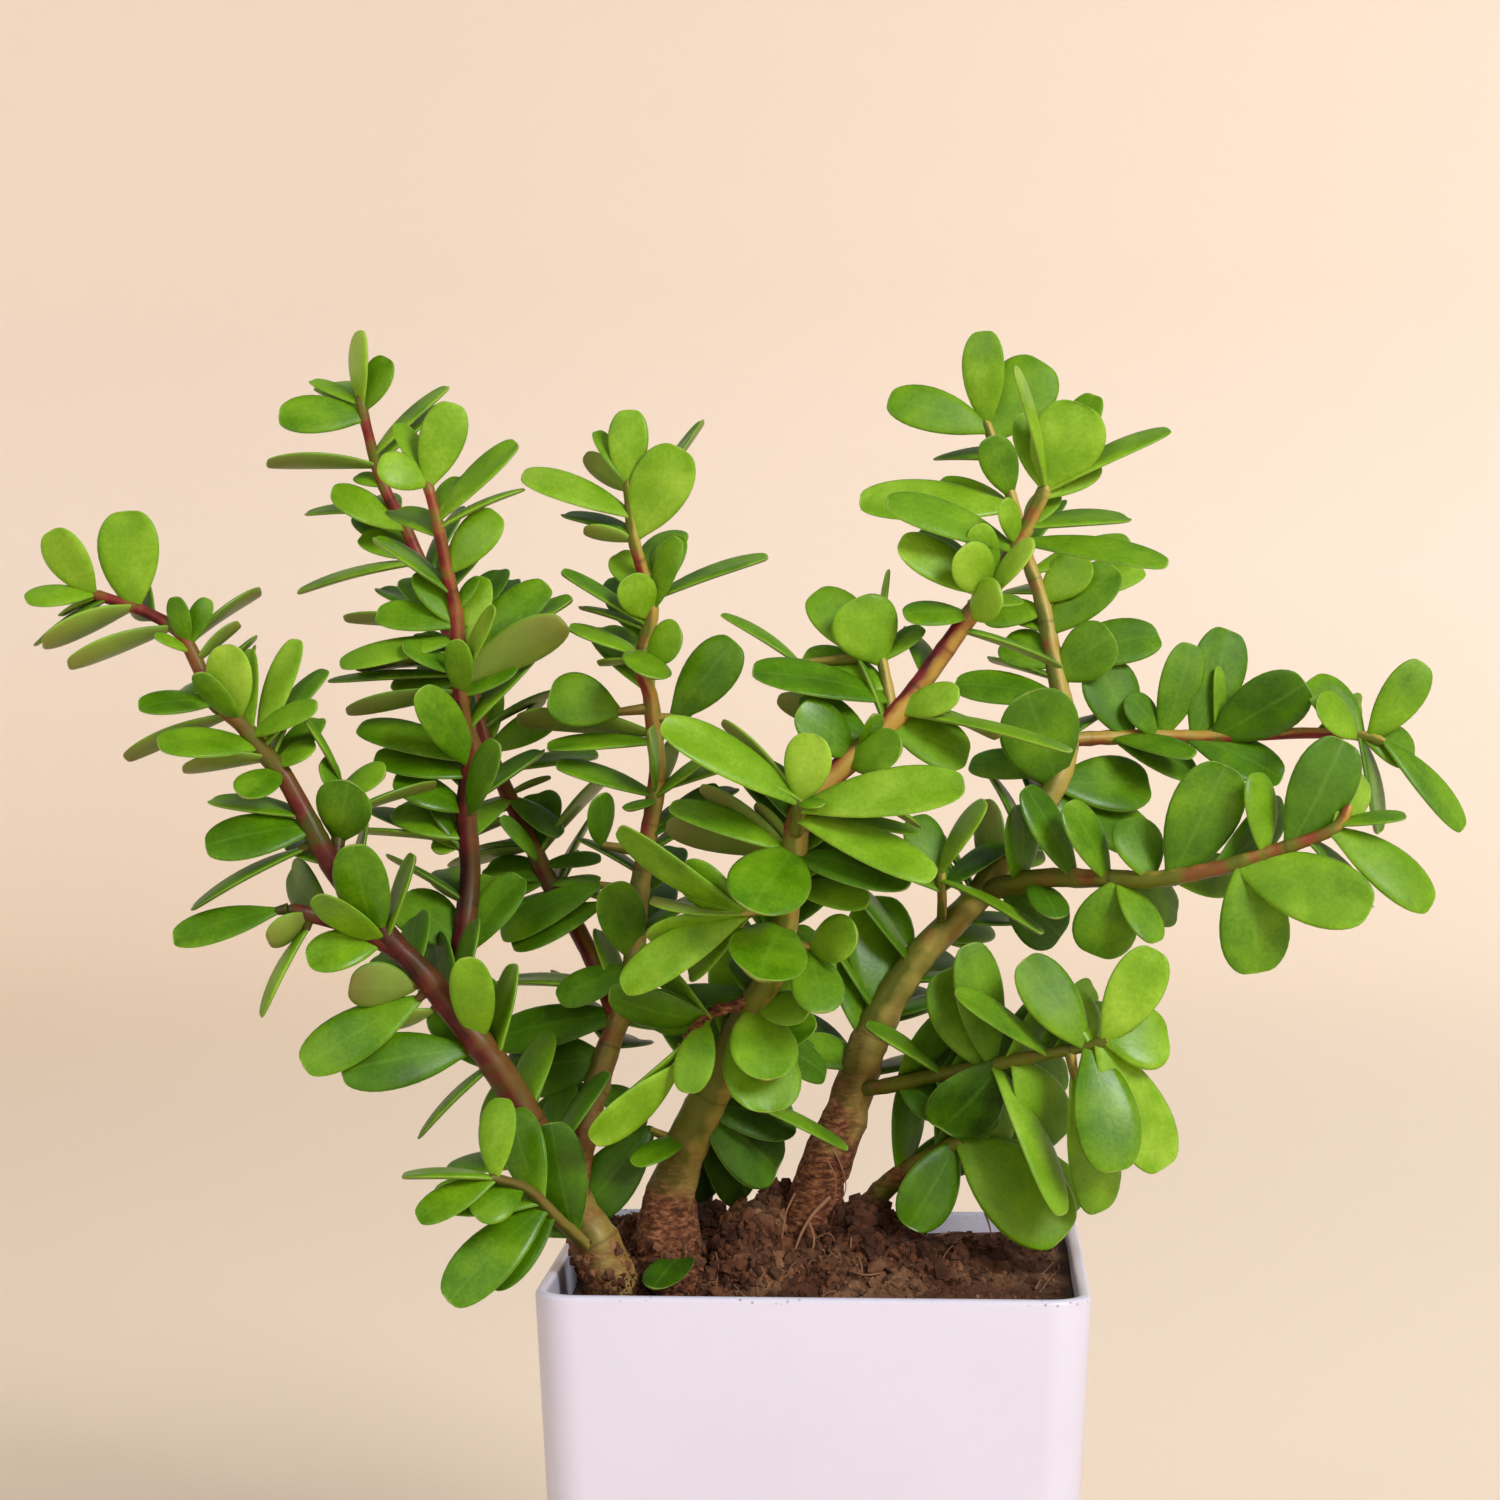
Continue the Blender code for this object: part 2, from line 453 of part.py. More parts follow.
def rounded_square(half, corner, height, corner_steps=POT_CORNER_STEPS, side_steps=1):
    """A square outline with round corners, anticlockwise from above."""
    outline = []
    for quarter in range(4):
        centre_x, centre_y = Matrix.Rotation(quarter * math.pi / 2, 2) @ Vector(
            (half - corner, half - corner)
        )
        for step in range(corner_steps + 1):
            angle = (quarter + step / corner_steps) * math.pi / 2
            outline.append(
                Vector(
                    (centre_x + corner * math.cos(angle), centre_y + corner * math.sin(angle), height)
                )
            )
        side = Matrix.Rotation(quarter * math.pi / 2, 3, "Z") @ Vector((2 * (corner - half), 0, 0))
        start = outline[-1]
        outline += [start + side * (step / side_steps) for step in range(1, side_steps)]
    return outline


def loft(rings):
    """Points and faces of a closed solid through rings of equal length, with flat ends."""
    count = len(rings[0])
    points = [point for ring in rings for point in ring]
    faces = [tuple(reversed(range(count)))]
    for level in range(len(rings) - 1):
        for i in range(count):
            j = (i + 1) % count
            faces.append(
                (
                    level * count + i,
                    level * count + j,
                    (level + 1) * count + j,
                    (level + 1) * count + i,
                )
            )
    faces.append(tuple(range((len(rings) - 1) * count, len(rings) * count)))
    return points, faces


def pot_half(height):
    """Half the pot's outer width at this height."""
    return (POT_FOOT_WIDTH + (POT_RIM_WIDTH - POT_FOOT_WIDTH) * height / POT_HEIGHT) / 2


def make_pot():
    inner_corner = POT_CORNER - POT_WALL
    bevel = POT_FOOT_BEVEL
    lip = POT_LIP_ROUND
    rings = [
        rounded_square(pot_half(0) - bevel, POT_CORNER - bevel, 0.0),
        rounded_square(pot_half(bevel), POT_CORNER, bevel),
        rounded_square(pot_half(POT_HEIGHT - lip), POT_CORNER, POT_HEIGHT - lip),
        rounded_square(pot_half(POT_HEIGHT) - lip, POT_CORNER - lip, POT_HEIGHT),
        rounded_square(pot_half(POT_HEIGHT) - POT_WALL + lip, inner_corner + lip, POT_HEIGHT),
        rounded_square(pot_half(POT_HEIGHT - lip) - POT_WALL, inner_corner, POT_HEIGHT - lip),
        rounded_square(pot_half(POT_FLOOR) - POT_WALL, inner_corner, POT_FLOOR),
    ]
    pot = mesh_object("pot", *loft(rings))
    finish_material(pot, "white moulded plastic", (0.82, 0.78, 0.81), 0.25)
    return pot


def ground(x, y):
    """The soil's height at this place."""
    height = SOIL_LEVEL + SOIL_TILT * math.tanh(x / 18)
    for across, depth, rise, spread in SOIL_MOUNDS:
        height += rise * math.exp(-((x - across) ** 2 + (y - depth) ** 2) / (2 * spread**2))
    calm = min(1.0, (46 - max(abs(x), abs(y))) / 12)
    clods = math.sin(x * 0.55 + 1.3) * math.cos(y * 0.47 + 0.4) + 0.7 * math.sin(x * 1.1 - y * 0.9)
    return height + SOIL_ROUGHNESS * calm * clods


def make_soil():
    def side(height):
        return pot_half(height) - POT_WALL - GAP

    corner = POT_CORNER - POT_WALL - GAP
    foot = POT_FLOOR + GAP
    steps = (SOIL_CORNER_STEPS, SOIL_SIDE_STEPS)
    rings = [rounded_square(side(foot), corner, foot, *steps)]
    for share in SOIL_RINGS:
        ring = rounded_square(side(SOIL_LEVEL) * share, corner * share, 0.0, *steps)
        for point in ring:
            point.z = ground(point.x, point.y)
            if share == 1.0:
                grow = side(point.z) / side(SOIL_LEVEL)
                point.x *= grow
                point.y *= grow
        rings.append(ring)
    points, faces = loft(rings)
    centre = len(points)
    points.append(Vector((0.0, 0.0, ground(0.0, 0.0))))
    last = faces.pop()
    for i, point in enumerate(last):
        faces.append((point, last[(i + 1) % len(last)], centre))
    return points, faces


def smooth_route(points):
    """Points along a smooth curve through these, about STEM_STEP apart."""
    dense = [points[0]]
    for i in range(len(points) - 1):
        before = points[max(i - 1, 0)]
        start, end = points[i], points[i + 1]
        after = points[min(i + 2, len(points) - 1)]
        parts = max(1, round((end - start).length / STEM_STEP))
        for part in range(1, parts + 1):
            t = part / parts
            dense.append(
                0.5
                * (
                    2 * start
                    + (end - before) * t
                    + (2 * before - 5 * start + 4 * end - after) * t**2
                    + (3 * start - before - 3 * end + after) * t**3
                )
            )
    kept = [dense[0]]
    for point in dense[1:-1]:
        if (point - kept[-1]).length > STEM_STEP_LEAST:
            kept.append(point)
    kept.append(dense[-1])
    return kept


def shares(path):
    """How far along the path each of its points is, from 0 to 1."""
    lengths = [0.0]
    for a, b in zip(path, path[1:]):
        lengths.append(lengths[-1] + (b - a).length)
    return [length / lengths[-1] for length in lengths]


def radius_at(thick, share):
    """The radius this far along a shoot, from its thicknesses spaced evenly along it."""
    place = share * (len(thick) - 1)
    low = min(int(place), len(thick) - 2)
    return (thick[low] + (thick[low + 1] - thick[low]) * (place - low)) / 2


def tube(path, radii, sides):
    """Points and faces of a round stem along the path."""
    rings = []
    side = (path[1] - path[0]).orthogonal()
    for i, centre in enumerate(path):
        ahead = (path[min(i + 1, len(path) - 1)] - path[max(i - 1, 0)]).normalized()
        side = (side - ahead * side.dot(ahead)).normalized()
        other = ahead.cross(side)
        turns = [2 * math.pi * k / sides for k in range(sides)]
        rings.append(
            [centre + (side * math.cos(a) + other * math.sin(a)) * radii[i] for a in turns]
        )
    return loft(rings)


def half_width(s):
    """Half the blade's width at a share of its length, as a share of the widest half."""
    if s > LEAF_WIDEST:
        return math.sqrt(max(0.0, 1 - ((s - LEAF_WIDEST) / (1 - LEAF_WIDEST)) ** 2))
    return LEAF_NECK + (1 - LEAF_NECK) * math.sin(math.pi / 2 * s / LEAF_WIDEST)


def leaf_solid(root, neck, tip, up, width, clear=0.0, blade_only=False):
    """Points and triangles of a paddle leaf, which widens from a point inside its stem.

    Its stalk runs from root to neck. clear makes the leaf that much bigger all round, and
    blade_only leaves out its narrow end.
    """
    along = (tip - neck).normalized()
    up = (up - along * up.dot(along)).normalized()
    left = up.cross(along)
    length = (tip - neck).length
    thick = LEAF_THICK_BASE + LEAF_THICK_SHARE * width + 2 * clear
    rim = SMALL_RIM if width < SMALL_LEAF else LARGE_RIM
    ridge = LARGE_RIDGE if width > LARGE_LEAF else SMALL_RIDGE

    def centre(s):
        return neck + along * (length * s) + up * (LEAF_ARCH * length * 4 * s * (1 - s))

    start = root - (neck - root + along).normalized() * LEAF_SUNK
    if blade_only:
        start = centre(LEAF_BLADE_FROM)
        rim = tuple(s for s in rim if s > LEAF_BLADE_FROM)
        ridge = tuple(s for s in ridge if s > LEAF_BLADE_FROM)
    elif (neck - root).length > STALK_LEAST:
        rim = (0.0,) + rim
        ridge = (0.0,) + ridge
    lefts = [centre(s) + left * (half_width(s) * width / 2 + clear) for s in rim]
    rights = [centre(s) - left * (half_width(s) * width / 2 + clear) for s in rim]
    uppers = [centre(s) + up * (thick / 2 * (1 if s > 0 else LEAF_NECK_THICK)) for s in ridge]
    lowers = [centre(s) - up * (thick / 2 * (1 if s > 0 else LEAF_NECK_THICK)) for s in ridge]
    points = lefts + rights + uppers + lowers + [start]
    numbers = iter(range(len(points)))
    chains = [list(itertools.islice(numbers, len(row))) for row in (lefts, rights, uppers, lowers)]
    left_chain, right_chain, upper_chain, lower_chain = chains
    faces = []

    def stitch(edge, spine, turned):
        i, j = 0, 0
        while i < len(edge) - 1 or j < len(spine) - 1:
            spine_done = j == len(spine) - 1
            if spine_done or (i < len(edge) - 1 and rim[i + 1] <= ridge[j + 1]):
                face = (spine[j], edge[i + 1], edge[i])
                i += 1
            else:
                face = (spine[j], spine[j + 1], edge[i])
                j += 1
            faces.append(tuple(reversed(face)) if turned else face)

    stitch(left_chain, upper_chain, False)
    stitch(right_chain, upper_chain, True)
    stitch(left_chain, lower_chain, True)
    stitch(right_chain, lower_chain, False)
    collar = (left_chain[0], lower_chain[0], right_chain[0], upper_chain[0])
    for i in range(4):
        faces.append((collar[i], collar[(i + 1) % 4], len(points) - 1))
    faces.append((right_chain[-1], lower_chain[-1], left_chain[-1]))
    faces.append((right_chain[-1], left_chain[-1], upper_chain[-1]))
    return points, faces


def obstacle(points, faces):
    low = Vector([min(point[k] for point in points) for k in range(3)])
    high = Vector([max(point[k] for point in points) for k in range(3)])
    return low, high, BVHTree.FromPolygons(points, faces)


def meets(shape, obstacles):
    points, faces = shape
    low, high, tree = obstacle(points, faces)
    for other_low, other_high, other in obstacles:
        if all(low[k] <= other_high[k] and high[k] >= other_low[k] for k in range(3)):
            if tree.overlap(other):
                return True
    return False


def bends():
    """Reach, turn, swing and length for each try, gentlest first."""
    tries = itertools.product(TRY_REACH, TRY_TURN, TRY_SWING, TRY_LENGTH)
    reach_cost, turn_cost, swing_cost, length_cost = TRY_COSTS

    def cost(row):
        reach, turn, swing, length = row
        return (
            abs(reach) * reach_cost
            + abs(turn) * turn_cost
            + abs(swing) * swing_cost
            + (1 - length) * length_cost
        )

    return sorted(tries, key=cost)[:TRY_MOST]


BENDS = bends()


def bent_clear(leaf, own, others):
    """The leaf, bent clear of every other piece, or None where no bend clears it."""
    root, neck, tip, up, width = leaf
    second_best = None
    view = (neck - EYE).normalized()
    for reach, turn, swing, length in BENDS:
        reached = tip - neck + (tip - EYE).normalized() * reach
        arm = Matrix.Rotation(math.radians(swing), 3, view) @ (reached * length)
        turned = Matrix.Rotation(math.radians(turn), 3, arm.normalized()) @ up
        bent = (root, neck, neck + arm, turned, width)
        if meets(leaf_solid(*bent, clear=LEAF_CLEAR), others):
            continue
        if not meets(leaf_solid(*bent, blade_only=True), own):
            return bent
        second_best = second_best or bent
    return second_best


def nearest_on(route, across, down):
    """The point of the route that the viewer sees nearest to this pixel, with its heading."""
    best = None
    for (x0, y0, d0), (x1, y1, d1) in zip(route, route[1:]):
        run = (x1 - x0) ** 2 + (y1 - y0) ** 2
        t = ((across - x0) * (x1 - x0) + (down - y0) * (y1 - y0)) / run
        t = max(0.0, min(1.0, t))
        x, y, depth = x0 + (x1 - x0) * t, y0 + (y1 - y0) * t, d0 + (d1 - d0) * t
        away = math.hypot(across - x, down - y)
        if best is None or away < best[0]:
            heading = (sight(x1, y1, d1) - sight(x0, y0, d0)).normalized()
            best = (away, sight(x, y, depth), depth, heading)
    return best[1:]


def seen_leaf(route, row):
    """A leaf from its row: root and tip where the viewer sees them, and its upper face turned."""
    root_x, root_y, tip_x, tip_y, reach, width, face = row
    root, depth, heading = nearest_on(route, root_x, root_y)
    neck = sight(root_x, root_y, depth)
    if (neck - root).length < STALK_LEAST:
        neck = root
    tip = sight(tip_x, tip_y, depth + reach)
    along = (tip - neck).normalized()
    to_eye = (EYE - neck).normalized()
    to_eye = (to_eye - along * to_eye.dot(along)).normalized()
    beside = along.cross(to_eye)
    if beside.dot(heading) < 0:
        beside = -beside
    turn = math.radians(face)
    return root, neck, tip, beside * math.cos(turn) + to_eye * math.sin(turn), width


def far_leaves(path, draw):
    """Leaves on the side of a shoot that the viewer doesn't see."""
    total = sum((b - a).length for a, b in zip(path, path[1:]))
    leaves = []
    along_path = FAR_BARE if total > 2 * FAR_BARE else FAR_SPACING
    while along_path < total - 2:
        walked = 0.0
        for a, b in zip(path, path[1:]):
            step = (b - a).length
            if walked + step >= along_path:
                break
            walked += step
        heading = (b - a).normalized()
        root = a + heading * (along_path - walked)
        away = EYE_AHEAD - heading * EYE_AHEAD.dot(heading)
        turn = draw.choice(FAR_TURNS) + draw.uniform(-12, 12)
        out = Matrix.Rotation(math.radians(turn), 3, heading) @ away.normalized()
        lean = math.radians(draw.uniform(*FAR_LEAN))
        along = heading * math.cos(lean) + out * math.sin(lean)
        length = draw.uniform(*FAR_LENGTH)
        leaves.append((root, root, root + along * length, heading, length * FAR_SHAPE))
        along_path += FAR_SPACING * draw.uniform(0.8, 1.2)
    return leaves


def drop_inner_shells(work):
    """Only the largest shell kept, so that a hollow sealed among the leaf roots is filled."""
    shells = []
    left = set(work.faces)
    while left:
        shell = {left.pop()}
        edge = set(shell)
        while edge:
            edge = {near for face in edge for side in face.edges for near in side.link_faces} - shell
            shell |= edge
        left -= shell
        shells.append(shell)
    shells.sort(key=len)
    inner = [face for shell in shells[:-1] for face in shell]
    bmesh.ops.delete(work, geom=inner, context="FACES")


def flatten(mesh):
    """Faces that lie nearly flat with each other made one, then all split into triangles."""
    work = bmesh.new()
    work.from_mesh(mesh)
    drop_inner_shells(work)
    bmesh.ops.dissolve_limit(
        work, angle_limit=math.radians(NEARLY_FLAT), verts=work.verts, edges=work.edges
    )
    bmesh.ops.triangulate(work, faces=work.faces)
    work.to_mesh(mesh)
    work.free()


def fused(name, solids):
    """One object from solids that run into each other."""
    whole = mesh_object(name, *solids[0])
    pieces = bpy.data.collections.new(name + " pieces")
    bpy.context.scene.collection.children.link(pieces)
    for number, solid in enumerate(solids[1:]):
        piece = mesh_object(f"{name} {number}", *solid)
        bpy.context.scene.collection.objects.unlink(piece)
        pieces.objects.link(piece)
    union = whole.modifiers.new("union", "BOOLEAN")
    union.operation = "UNION"
    union.operand_type = "COLLECTION"
    union.collection = pieces
    union.solver = "MANIFOLD"
    bpy.context.view_layer.update()
    graph = bpy.context.evaluated_depsgraph_get()
    joined = bpy.data.meshes.new_from_object(whole.evaluated_get(graph))
    whole.modifiers.remove(union)
    whole.data = joined
    flatten(joined)
    for piece in list(pieces.objects):
        bpy.data.objects.remove(piece)
    bpy.data.collections.remove(pieces)
    return whole


def stem_path(shoot):
    return smooth_route([sight(*point) for point in shoot["route"]])


def rooted(path):
    """The main shoot's path, carried on straight down into the soil."""
    heading = (path[1] - path[0]).normalized()
    return [path[0] - heading * STEM_ROOT, path[0] - heading * (STEM_ROOT / 2)] + path


def main_radii(shoot, path):
    """The radius at each point of a rooted path, a little thinner under the soil."""
    above = [radius_at(shoot["thick"], share) for share in shares(path)]
    return [above[0] * ROOT_TAPER**2, above[0] * ROOT_TAPER] + above


def grow_plants(pot_solid, soil_solid):
    """Every leafy stem's solids, by node, and the main stems that stand in the soil."""
    solids = {}
    obstacles = {"pot": [obstacle(*pot_solid)], "soil": [obstacle(*soil_solid)]}
    own_blades = {}
    roots = {}
    for name, shoots in PLANTS.items():
        solids[name] = []
        own_blades[name] = []
        for number, shoot in enumerate(shoots):
            path = stem_path(shoot)
            if number == 0:
                radii = main_radii(shoot, path)
                path = rooted(path)
                roots[name] = (path, radii)
            else:
                radii = [radius_at(shoot["thick"], share) for share in shares(path)]
            sides = THICK_SIDES if shoot["thick"][0] > THICK_STEM else THIN_SIDES
            solids[name].append(tube(path, radii, sides))
        obstacles[name] = [obstacle(*solid) for solid in solids[name]]
        own_blades[name] = list(obstacles[name])

    def place(name, leaf):
        others = [row for node, rows in obstacles.items() if node != name for row in rows]
        bent = bent_clear(leaf, own_blades[name], others)
        if bent is not None:
            whole = leaf_solid(*bent)
            solids[name].append(whole)
            obstacles[name].append(obstacle(*whole))
            own_blades[name].append(obstacle(*leaf_solid(*bent, blade_only=True)))

    for name, shoots in PLANTS.items():
        for shoot in shoots:
            for row in shoot["leaves"]:
                place(name, seen_leaf(shoot["route"], row))
    draw = random.Random(FAR_SEED)
    for name, shoots in PLANTS.items():
        for shoot in shoots:
            for leaf in far_leaves(stem_path(shoot), draw):
                place(name, leaf)
    return solids, roots


def cut_holes(soil, roots):
    """Plain holes in the soil, one for each stem that stands in it."""
    for name, (path, radii) in roots.items():
        below = (path[0] - path[1]).normalized()
        reach = [path[0] + below * STEM_FIT]
        wide = [radii[0] + STEM_FIT]
        height = 0.0
        for before, point, radius in zip(path, path[1:], radii[1:]):
            height += (point - before).length
            reach.append(point)
            wide.append(radius + STEM_FIT)
            if height > STEM_ROOT + HOLE_REACH:
                break
        cutter = mesh_object(name + "_hole", *tube(reach, wide, THICK_SIDES))
        cutter.hide_render = True
        cutter.display_type = "WIRE"
        hole = soil.modifiers.new(name + " hole", "BOOLEAN")
        hole.operation = "DIFFERENCE"
        hole.solver = "MANIFOLD"
        hole.object = cutter


def main():
    for thing in list(bpy.data.objects):
        bpy.data.objects.remove(thing)
    pot = make_pot()
    pot_solid = (
        [vertex.co / MM for vertex in pot.data.vertices],
        [tuple(face.vertices) for face in pot.data.polygons],
    )
    soil_solid = make_soil()
    soil = mesh_object("soil", *soil_solid)
    finish_material(soil, "potting soil", (0.09, 0.05, 0.03), 0.95)
    solids, roots = grow_plants(pot_solid, soil_solid)
    cut_holes(soil, roots)
    for name, parts in solids.items():
        finish_material(fused(name, parts), "succulent green", (0.16, 0.36, 0.03), 0.4)


main()
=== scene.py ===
"""A potted succulent: four leafy stems with fleshy paddle leaves, in soil, in a square white pot.

Sizes are in millimetres, and MM turns them into Blender's metres. Only the studio's lamps and the
shading of its paper are written in metres. The origin is the centre of the pot's flat base, +Z up,
and the pot's front wall faces -Y.
"""

import itertools
import json
import math
import random

import bpy
from mathutils import Matrix, Vector, noise
from mathutils.bvhtree import BVHTree

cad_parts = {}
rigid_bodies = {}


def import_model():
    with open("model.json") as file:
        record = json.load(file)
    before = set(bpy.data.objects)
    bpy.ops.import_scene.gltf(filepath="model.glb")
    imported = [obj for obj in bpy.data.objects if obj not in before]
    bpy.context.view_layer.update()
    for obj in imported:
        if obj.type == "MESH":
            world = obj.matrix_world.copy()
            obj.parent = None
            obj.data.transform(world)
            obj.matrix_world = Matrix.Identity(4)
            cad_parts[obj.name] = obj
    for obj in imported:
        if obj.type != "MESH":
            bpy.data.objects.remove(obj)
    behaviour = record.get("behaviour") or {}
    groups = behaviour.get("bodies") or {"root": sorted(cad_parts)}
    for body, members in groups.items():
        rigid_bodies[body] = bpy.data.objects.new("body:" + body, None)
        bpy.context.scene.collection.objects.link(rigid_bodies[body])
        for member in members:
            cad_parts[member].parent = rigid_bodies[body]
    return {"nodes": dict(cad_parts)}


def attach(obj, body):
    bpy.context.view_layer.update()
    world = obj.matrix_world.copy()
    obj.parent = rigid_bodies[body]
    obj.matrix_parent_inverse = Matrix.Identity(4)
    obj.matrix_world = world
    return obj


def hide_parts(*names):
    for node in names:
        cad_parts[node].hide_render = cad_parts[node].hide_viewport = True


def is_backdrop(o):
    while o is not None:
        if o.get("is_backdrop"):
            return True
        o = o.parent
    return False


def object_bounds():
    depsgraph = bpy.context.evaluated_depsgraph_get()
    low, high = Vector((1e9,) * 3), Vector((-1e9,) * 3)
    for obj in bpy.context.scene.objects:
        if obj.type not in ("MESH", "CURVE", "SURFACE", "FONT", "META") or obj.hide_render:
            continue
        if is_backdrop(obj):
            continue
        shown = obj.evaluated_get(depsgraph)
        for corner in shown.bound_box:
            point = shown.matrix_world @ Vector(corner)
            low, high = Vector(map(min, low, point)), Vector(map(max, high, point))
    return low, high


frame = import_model()
cad_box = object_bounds()


# The studio. The viewer stands 0.7 m in front of the pot, just above the middle of the plant, and
# looks slightly down. A broad soft light hangs on the right, a weak one fills the left, and floor
# and wall are one sheet of pale paper that curves up all round.
MM = 0.001
EYE = Vector((25.5, -720.0, 222.4))
EYE_YAW = math.radians(3.1)
EYE_DIP = math.radians(2.13)
EYE_FOCAL_PX = 3800.0
EYE_CENTRE_PX = 750.0
EYE_AHEAD = Vector(
    (
        -math.sin(EYE_YAW) * math.cos(EYE_DIP),
        math.cos(EYE_YAW) * math.cos(EYE_DIP),
        -math.sin(EYE_DIP),
    )
)
EYE_RIGHT = Vector((math.cos(EYE_YAW), math.sin(EYE_YAW), 0.0))
EYE_UP = EYE_RIGHT.cross(EYE_AHEAD)


def sight(across, down, depth):
    """The point at this depth behind the pot's middle that the viewer sees at this pixel."""
    ray = (
        EYE_AHEAD * EYE_FOCAL_PX
        + EYE_RIGHT * (across - EYE_CENTRE_PX)
        - EYE_UP * (down - EYE_CENTRE_PX)
    )
    return EYE + ray * ((depth - EYE.y) / ray.y)


PICTURE_PX = 1500
SENSOR_WIDTH = 36.0

lens = bpy.data.cameras.new("viewpoint")
lens.sensor_width = SENSOR_WIDTH
lens.lens = EYE_FOCAL_PX * SENSOR_WIDTH / PICTURE_PX
lens.clip_end = 20.0
viewpoint = bpy.data.objects.new("viewpoint", lens)
facing = Matrix((EYE_RIGHT, EYE_UP, -EYE_AHEAD)).transposed()
viewpoint.matrix_world = Matrix.Translation(EYE * MM) @ facing.to_4x4()
bpy.context.scene.collection.objects.link(viewpoint)
bpy.context.scene.camera = viewpoint
bpy.context.scene.view_settings.view_transform = "Standard"


def linear(hex_colour):
    """A colour written as sRGB hex, as the linear RGBA that a shader takes."""
    channels = [int(hex_colour[k : k + 2], 16) / 255 for k in (1, 3, 5)]
    return (*[c / 12.92 if c <= 0.04045 else ((c + 0.055) / 1.055) ** 2.4 for c in channels], 1.0)


def soft_light(name, place, aim, width, power, colour):
    lamp = bpy.data.lights.new(name, "AREA")
    lamp.shape = "SQUARE"
    lamp.size = width
    lamp.energy = power
    lamp.color = linear(colour)[:3]
    holder = bpy.data.objects.new(name, lamp)
    holder.location = place
    holder.rotation_euler = (Vector(aim) - Vector(place)).to_track_quat("-Z", "Y").to_euler()
    bpy.context.scene.collection.objects.link(holder)


soft_light("key_light", (1.15, -1.4, 1.3), (0.02, 0.0, 0.17), 0.7, 44.0, "#F8F8FF")
soft_light("fill_light", (-1.1, -1.5, 1.1), (0.0, 0.0, 0.16), 1.2, 14.0, "#F6F4FF")

surround = bpy.data.worlds.new("studio_air")
surround.use_nodes = True
surround.node_tree.nodes["Background"].inputs["Color"].default_value = linear("#F4F5FF")
surround.node_tree.nodes["Background"].inputs["Strength"].default_value = 0.3
bpy.context.scene.world = surround


def fill(tree, made, inputs):
    """Gives a node its inputs, by name or number, each a value or another node's output."""
    for key, value in inputs.items():
        shown = [socket for socket in made.inputs if socket.enabled and socket.name == key]
        socket = made.inputs[key] if isinstance(key, int) else shown[0]
        if isinstance(value, bpy.types.NodeSocket):
            tree.links.new(value, socket)
        else:
            socket.default_value = value


def node(tree, kind, inputs=None, take=None, **settings):
    """Adds a node, and gives its first output or the one that take names."""
    made = tree.nodes.new(kind)
    for name, value in settings.items():
        setattr(made, name, value)
    fill(tree, made, inputs or {})
    return next((s for s in made.outputs if s.enabled and take in (None, s.name)), None)


def new_material(name):
    """A material with its node tree and its shader."""
    material = bpy.data.materials.new(name)
    material.use_nodes = True
    return material, material.node_tree, material.node_tree.nodes["Principled BSDF"]


def new_object(name, points, faces, material):
    """A smooth-shaded object from points in millimetres."""
    mesh = bpy.data.meshes.new(name)
    mesh.from_pydata([Vector(point) * MM for point in points], [], faces)
    mesh.validate()
    mesh.shade_smooth()
    mesh.materials.append(material)
    thing = bpy.data.objects.new(name, mesh)
    bpy.context.scene.collection.objects.link(thing)
    return thing


SWEEP_FLAT = 1500.0
SWEEP_BEND = 500.0
SWEEP_HEIGHT = 950.0
SWEEP_TURNS = 72
SWEEP_BEND_STEPS = 12

# Matt background paper that glows as painted light, standing in for light that falls on it: the
# glow is a little dim near the pot, to the left, high up and on the viewer's side, and paler to the
# right. Its colour is painted a little darker on the floor than up the curve, as painted shade.
paper, tree, shader = new_material("background paper with painted glow")
place = node(tree, "ShaderNodeTexCoord", take="Object")
rightward, backward, height = (
    node(tree, "ShaderNodeSeparateXYZ", {0: place}, take=axis) for axis in "XYZ"
)
flat_place = node(
    tree, "ShaderNodeVectorMath", {0: place, 1: (1.0, 1.0, 0.0)}, operation="MULTIPLY"
)
distance = node(tree, "ShaderNodeVectorMath", {0: flat_place}, take="Value", operation="LENGTH")
# Painted light: how strongly the paper glows, by place.
behind = node(
    tree, "ShaderNodeMapRange",
    {"Value": backward, "From Min": -0.5, "From Max": 0.3, "To Min": -0.1, "To Max": 0.29},
)
around = node(
    tree, "ShaderNodeMapRange",
    {"Value": distance, "From Min": 0.1, "From Max": 1.5, "To Min": 0.17, "To Max": behind},
)
beside = node(
    tree, "ShaderNodeMapRange",
    {"Value": rightward, "From Min": -0.5, "From Max": 0.5, "To Min": -0.11, "To Max": 0.04},
)
aloft = node(tree, "ShaderNodeMapRange", {"Value": height, "From Max": 0.45, "To Max": -0.2})
level = node(tree, "ShaderNodeMath", {0: around, 1: beside}, operation="ADD")
painted_glow = node(tree, "ShaderNodeMath", {0: level, 1: aloft}, operation="ADD", use_clamp=True)
# Painted shade: the paper's colour is darker on the floor than up the curve.
painted_paler_aloft = node(tree, "ShaderNodeMapRange", {"Value": height, "From Max": 0.25})
to_right = node(tree, "ShaderNodeMapRange", {"Value": rightward, "From Min": -0.5, "From Max": 0.5})
colour, painted_glow_colour = (
    node(tree, "ShaderNodeMix", {"Factor": share, "A": linear(a), "B": linear(b)}, data_type="RGBA")
    for share, a, b in ((painted_paler_aloft, "#EFDBC0", "#F6E8D6"), (to_right, "#EDDCC6", "#FFF8EC"))
)
fill(tree, shader, {"Base Color": colour, "Emission Strength": painted_glow, "Emission Color": painted_glow_colour})
fill(tree, shader, {"Roughness": 0.95, "Specular IOR Level": 0.2})

